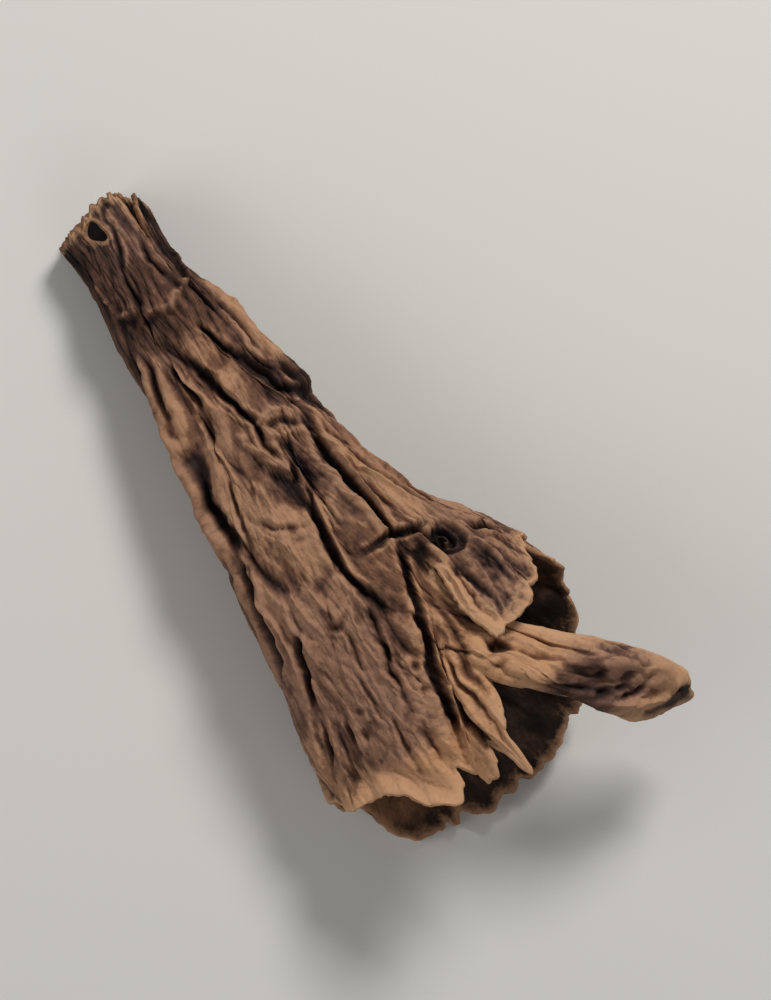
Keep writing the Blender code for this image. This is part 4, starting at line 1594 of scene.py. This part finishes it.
@dataclass(frozen=True)
class DriedFlesh:
    """Dried chanterelle flesh: air-dried, shrunken, papery to leathery, matt with a dusty bloom.

    The colours come from the relief within the wrinkles, which paints shade in the grooves and
    highlights on the crests, a lengthwise grain, a blotchy unevenness, the tan of the stretched
    places and the nearness of a torn edge, where the flesh is thin and pale.

    Attributes:
        tone: Which part of the flesh it is.
        ramp: Colours from the bottom of a wrinkle to its top, with their places, dark for painted
            shade in the grooves and pale for a painted highlight on the crests.
        tan: The same where the flesh is tan.
        bloom: Colour of the dusty bloom, and its greatest share.
        pale: Colour towards an edge, and its greatest share.
        dark: Colour of the specks, which are the dried spore dust and grime.
        roughness: Roughness in the grooves and on the crests; dry flesh has hardly any gloss.
        grain: Width of the lengthwise grain in millimetres.
        blotch: Size of the blotches in millimetres.
        speck: Size of the specks in millimetres, coarser than the real dust so that they show.
        weights: How much the grain, the blotches and the specks add to the height that the
            colours follow.
        octaves: Detail and roughness of the grain, the blotches and the specks.
        grain_depth: Depth of the grain in millimetres.
        grain_stretch: The grain's width over its length.
        grain_speck: Share of the specks' height in that of the grain.
        gloss: Index of refraction, and level of the shine.
        tan_noise: Share of the blotches and of the specks in where the tan shows.
        edge_noise: Share of the blotches, the specks and the height in where the edge is pale.
        tan_ends: Where the tan starts and is full.
        bloom_ends: Between which heights of the blotches the bloom appears.
        pale_ends: Between which nearnesses to an edge the paleness appears.
        dark_ends: Between which heights of the specks' noise they appear, and their share.
    """

    tone: Tone
    ramp: tuple[tuple[float, str], ...]
    tan: tuple[tuple[float, str], ...]
    bloom: tuple[str, float]
    pale: tuple[str, float]
    dark: str = "#2a1c15"
    roughness: tuple[float, float] = (0.95, 0.80)
    grain: float = 0.13
    blotch: float = 1.9
    speck: float = 0.16
    weights: tuple[float, float, float] = (0.62, 0.42, 0.34)
    octaves: Knots = ((3.0, 0.65), (5.0, 0.62), (2.0, 0.7))
    grain_depth: float = 0.05
    grain_stretch: float = 0.22
    grain_speck: float = 0.7
    gloss: tuple[float, float] = (1.45, 0.25)
    tan_noise: tuple[float, float] = (1.3, 0.3)
    edge_noise: tuple[float, float, float] = (0.8, 0.6, 0.5)
    tan_ends: tuple[float, float] = (0.1, 0.9)
    bloom_ends: tuple[float, float] = (0.46, 0.68)
    pale_ends: tuple[float, float] = (0.36, 0.95)
    dark_ends: tuple[float, float, float] = (0.35, 0.29, 0.22)

    def material(self) -> bpy.types.Material:
        """Builds the material, which reads the attributes flesh, relief, edge and tan.

        Returns:
            The material.
        """
        material = bpy.data.materials.new(f"dried_flesh_{self.tone.value}")
        material.use_nodes = True
        tree = material.node_tree
        flesh = add_node(tree, "ShaderNodeAttribute", attribute_name="flesh").outputs["Vector"]
        relief, edge, tan = (
            add_node(tree, "ShaderNodeAttribute", attribute_name=name).outputs["Fac"]
            for name in ("relief", "edge", "tan"))
        lengthwise = add_node(tree, "ShaderNodeMapping", {
            "Vector": flesh, "Scale": (1, 1, self.grain_stretch)}).outputs[0]
        places = ((lengthwise, self.grain), (flesh, self.blotch), (flesh, self.speck))
        grain, blotch, speck = (
            add_node(tree, "ShaderNodeTexNoise", {
                "Vector": place, "Scale": 0.5 / size, "Detail": detail,
                "Roughness": rough}).outputs["Fac"]
            for (place, size), (detail, rough) in zip(places, self.octaves))
        height = self.summed(tree, relief, (grain, blotch, speck), self.weights)
        colour = self.coloured(tree, height, blotch, speck, edge, tan)
        shader = tree.nodes["Principled BSDF"]
        tree.links.new(colour, shader.inputs["Base Color"])
        matt = self.ranged(tree, height, (0.0, 1.0), self.roughness)
        tree.links.new(matt, shader.inputs["Roughness"])
        ridged = self.summed(tree, grain, (speck,), (self.grain_speck,))
        bump = add_node(tree, "ShaderNodeBump", {
            "Height": ridged, "Distance": self.grain_depth * MM, "Strength": 1.0})
        tree.links.new(bump.outputs["Normal"], shader.inputs["Normal"])
        for name, value in zip(("IOR", "Specular IOR Level"), self.gloss):
            shader.inputs[name].default_value = value
        return material

    @staticmethod
    def summed(tree: bpy.types.NodeTree, start: bpy.types.NodeSocket,
               noises: tuple[bpy.types.NodeSocket, ...],
               weights: tuple[float, ...]) -> bpy.types.NodeSocket:
        """Adds noises to a value, each less its mean of a half, and times its weight.

        Args:
            tree: The node tree.
            start: The value to add to.
            noises: What is added.
            weights: The weight of each.

        Returns:
            The sum.
        """
        for noise_value, weight in zip(noises, weights):
            centred = add_node(tree, "ShaderNodeMath", {
                0: noise_value, 1: weight, 2: -weight / 2}, operation="MULTIPLY_ADD")
            start = add_node(tree, "ShaderNodeMath", {
                0: start, 1: centred.outputs[0]}, operation="ADD").outputs[0]
        return start

    @staticmethod
    def ranged(tree: bpy.types.NodeTree, value: bpy.types.NodeSocket, ends: tuple[float, float],
               results: tuple[float, float]) -> bpy.types.NodeSocket:
        """Turns the values between two ends into those between two results, evenly.

        Args:
            tree: The node tree.
            value: The value.
            ends: What gives the first and the last result.
            results: The first and the last result.

        Returns:
            The result's output.
        """
        return add_node(tree, "ShaderNodeMapRange", {
            "Value": value, "From Min": ends[0], "From Max": ends[1], "To Min": results[0],
            "To Max": results[1]}).outputs["Result"]

    def coloured(self, tree: bpy.types.NodeTree, height: bpy.types.NodeSocket,
                 blotch: bpy.types.NodeSocket, speck: bpy.types.NodeSocket,
                 edge: bpy.types.NodeSocket, tan: bpy.types.NodeSocket) -> bpy.types.NodeSocket:
        """The colour: the ramps by height, then the bloom, the pale edge and the dark specks.

        Args:
            tree: The node tree.
            height: Height within the wrinkles and the grain.
            blotch: The blotchy noise.
            speck: The fine noise.
            edge: Nearness to an edge.
            tan: How much of the tan shows.

        Returns:
            The colour's output.
        """
        # The ramps paint shade in the grooves and a highlight on the crests.
        brown, tawny = (
            add_node(tree, "ShaderNodeValToRGB", {"Fac": height}, stops=stops).outputs["Color"]
            for stops in (self.ramp, self.tan))
        spread = self.summed(tree, tan, (blotch, speck), self.tan_noise)
        nearness = self.summed(tree, edge, (blotch, speck, height), self.edge_noise)
        *dark_ends, dark_share = self.dark_ends
        colour = brown
        for value, ends, most, other in (
                (spread, self.tan_ends, 1.0, tawny),
                (blotch, self.bloom_ends, self.bloom[1], hex_colour(self.bloom[0])),
                (nearness, self.pale_ends, self.pale[1], hex_colour(self.pale[0])),
                (speck, dark_ends, dark_share, hex_colour(self.dark))):
            share = self.ranged(tree, value, ends, (0.0, most))
            colour = add_node(tree, "ShaderNodeMix", {
                0: share, 6: colour, 7: other}, data_type="RGBA").outputs[2]
        return colour


FINISHES = (
    # The skin's ramp runs from painted shade in the grooves to a painted highlight on the crests.
    DriedFlesh(
        Tone.SKIN,
        ramp=((0.0, "#0e0805"), (1.0, "#967059"), (0.25, "#231611"), (0.5, "#483127"),
              (0.75, "#68493a")),
        tan=((0.0, "#160c08"), (1.0, "#bd8f69"), (0.25, "#362015"), (0.5, "#674531"),
             (0.75, "#8c6345")),
        bloom=("#68524d", 0.34),
        pale=("#c09470", 0.80),
    ),
    # The lining's own dark brown, darkened further into painted shade for the inside of the
    # trumpet.
    DriedFlesh(
        Tone.LINING,
        ramp=((0.0, "#050302"), (1.0, "#2b1c15"), (0.5, "#140c08")),
        tan=((0.0, "#0f0806"), (1.0, "#80593f"), (0.5, "#3c261a")),
        bloom=("#2a1c16", 0.20),
        pale=("#a0775a", 0.75),
    ),
    DriedFlesh(
        Tone.TORN,
        ramp=((0.0, "#2a1a13"), (1.0, "#9c7658"), (0.5, "#664735")),
        tan=((0.0, "#382317"), (1.0, "#c0946e"), (0.5, "#876044")),
        bloom=("#9a7558", 0.35),
        pale=("#ad825e", 0.35),
        grain=0.20,
    ),
)


@dataclass(frozen=True)
class Studio:
    """A plain pale floor, soft light and a camera that looks almost straight down.

    Lengths are in metres. A light is its place, its size and its power in watts.

    Attributes:
        floor_size: Side of the floor.
        roll: How far the mushroom's axis points below the picture's horizontal, in degrees.
        tilt: How far the camera leans off the vertical, in degrees.
        distance: From the camera to the mushroom.
        frame_height: Height of what the picture takes in at that distance.
        sensor: Height of the camera's sensor in millimetres.
        nearest: What lies closer to the camera isn't shown.
        aim: Where the camera looks.
        lights: The soft lights.
        world: Strength of the light from all round.
        floor_colour: The floor's colour.
        floor_roughness: Its roughness.
        floor_gap: How far it lies below the mushroom, so that they don't touch.
    """

    floor_size: float = 1.2
    roll: float = 52.55
    tilt: float = 3.0
    distance: float = 0.42
    frame_height: float = 0.0460
    sensor: float = 24.0
    nearest: float = 0.01
    aim: tuple[float, float, float] = (0.0016, 0.0022, 0.004)
    lights: tuple[tuple[tuple[float, float, float], float, float], ...] = (
        ((-0.085, 0.160, 0.160), 0.060, 0.455),
        ((-0.100, -0.180, 0.130), 0.18, 0.17),
        ((0.20, -0.02, 0.14), 0.20, 0.07),
    )
    world: float = 0.16
    floor_colour: str = "#d9d6d0"
    floor_roughness: float = 0.9
    floor_gap: float = 0.00002

    def floor(self) -> bpy.types.Object:
        """Adds the floor, a pale square just under the mushroom."""
        half = self.floor_size / 2
        mesh = bpy.data.meshes.new("floor")
        corners = [(-half, -half, 0), (half, -half, 0), (half, half, 0), (-half, half, 0)]
        mesh.from_pydata(corners, [], [(0, 1, 2, 3)])
        mesh.transform(Matrix.Translation((0.0, 0.0, -self.floor_gap)))
        material = bpy.data.materials.new("pale_matt_board")
        material.use_nodes = True
        shader = material.node_tree.nodes["Principled BSDF"]
        shader.inputs["Base Color"].default_value = hex_colour(self.floor_colour)
        shader.inputs["Roughness"].default_value = self.floor_roughness
        mesh.materials.append(material)
        floor = bpy.data.objects.new("floor", mesh)
        bpy.context.scene.collection.objects.link(floor)
        return floor

    def light(self, name: str, place: Vector, size: float, power: float) -> bpy.types.Object:
        """Adds one square soft light that shines at the mushroom.

        Args:
            name: The light's name.
            place: Where it stands.
            size: Its side.
            power: Its power in watts.

        Returns:
            The light.
        """
        lamp = bpy.data.lights.new(name, "AREA")
        lamp.size = size
        lamp.energy = power
        light = bpy.data.objects.new(name, lamp)
        light.location = place
        light.rotation_euler = (Vector(self.aim) - place).to_track_quat("-Z", "Y").to_euler()
        bpy.context.scene.collection.objects.link(light)
        return light

    def camera(self) -> bpy.types.Object:
        """Adds the camera, above the mushroom and leaning towards the picture's top."""
        roll, tilt = math.radians(self.roll), math.radians(self.tilt)
        lens = bpy.data.cameras.new("camera")
        lens.sensor_fit = "VERTICAL"
        lens.sensor_height = self.sensor
        lens.lens = self.sensor * self.distance / self.frame_height
        lens.clip_start = self.nearest
        camera = bpy.data.objects.new("camera", lens)
        turn = Matrix.Rotation(roll, 4, "Z") @ Matrix.Rotation(-tilt, 4, "X")
        place = Matrix.Translation(Vector(self.aim))
        camera.matrix_world = place @ turn @ Matrix.Translation((0.0, 0.0, self.distance))
        bpy.context.scene.collection.objects.link(camera)
        bpy.context.scene.camera = camera
        return camera

    def build(self) -> None:
        """Adds the floor, the lights, the surrounding light and the camera."""
        self.floor()
        for number, (place, size, power) in enumerate(self.lights):
            self.light(f"soft_light_{number}", Vector(place), size, power)
        world = bpy.data.worlds.new("studio")
        world.use_nodes = True
        world.node_tree.nodes["Background"].inputs["Strength"].default_value = self.world
        world.node_tree.nodes["Background"].inputs["Color"].default_value = (1, 1, 1, 1)
        bpy.context.scene.world = world
        bpy.context.scene.view_settings.view_transform = "Standard"
        self.camera()


def corners(bounds: Any) -> list[list[float]]:
    """A box's lowest and highest corner as plain numbers."""
    return [[float(value) for value in corner] for corner in bounds]


def main() -> None:
    """Builds the mushroom's pieces in order, dresses them, and lights the scene."""
    logging.basicConfig(level=logging.INFO, format="%(name)s: %(message)s")
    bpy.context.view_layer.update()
    mushroom = FruitBody()
    finishes = {finish.tone: finish.material() for finish in FINISHES}
    for tone, pieces in mushroom.pieces().items():
        for piece in pieces:
            shown = piece.to_object(finishes[tone])
            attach(shown, BODY)
            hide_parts(NODE)
            log.info("%s: %d squares, %s", piece.name, len(piece.cells), tone.value)
    Studio().build()


if __name__ == "__main__":
    main()
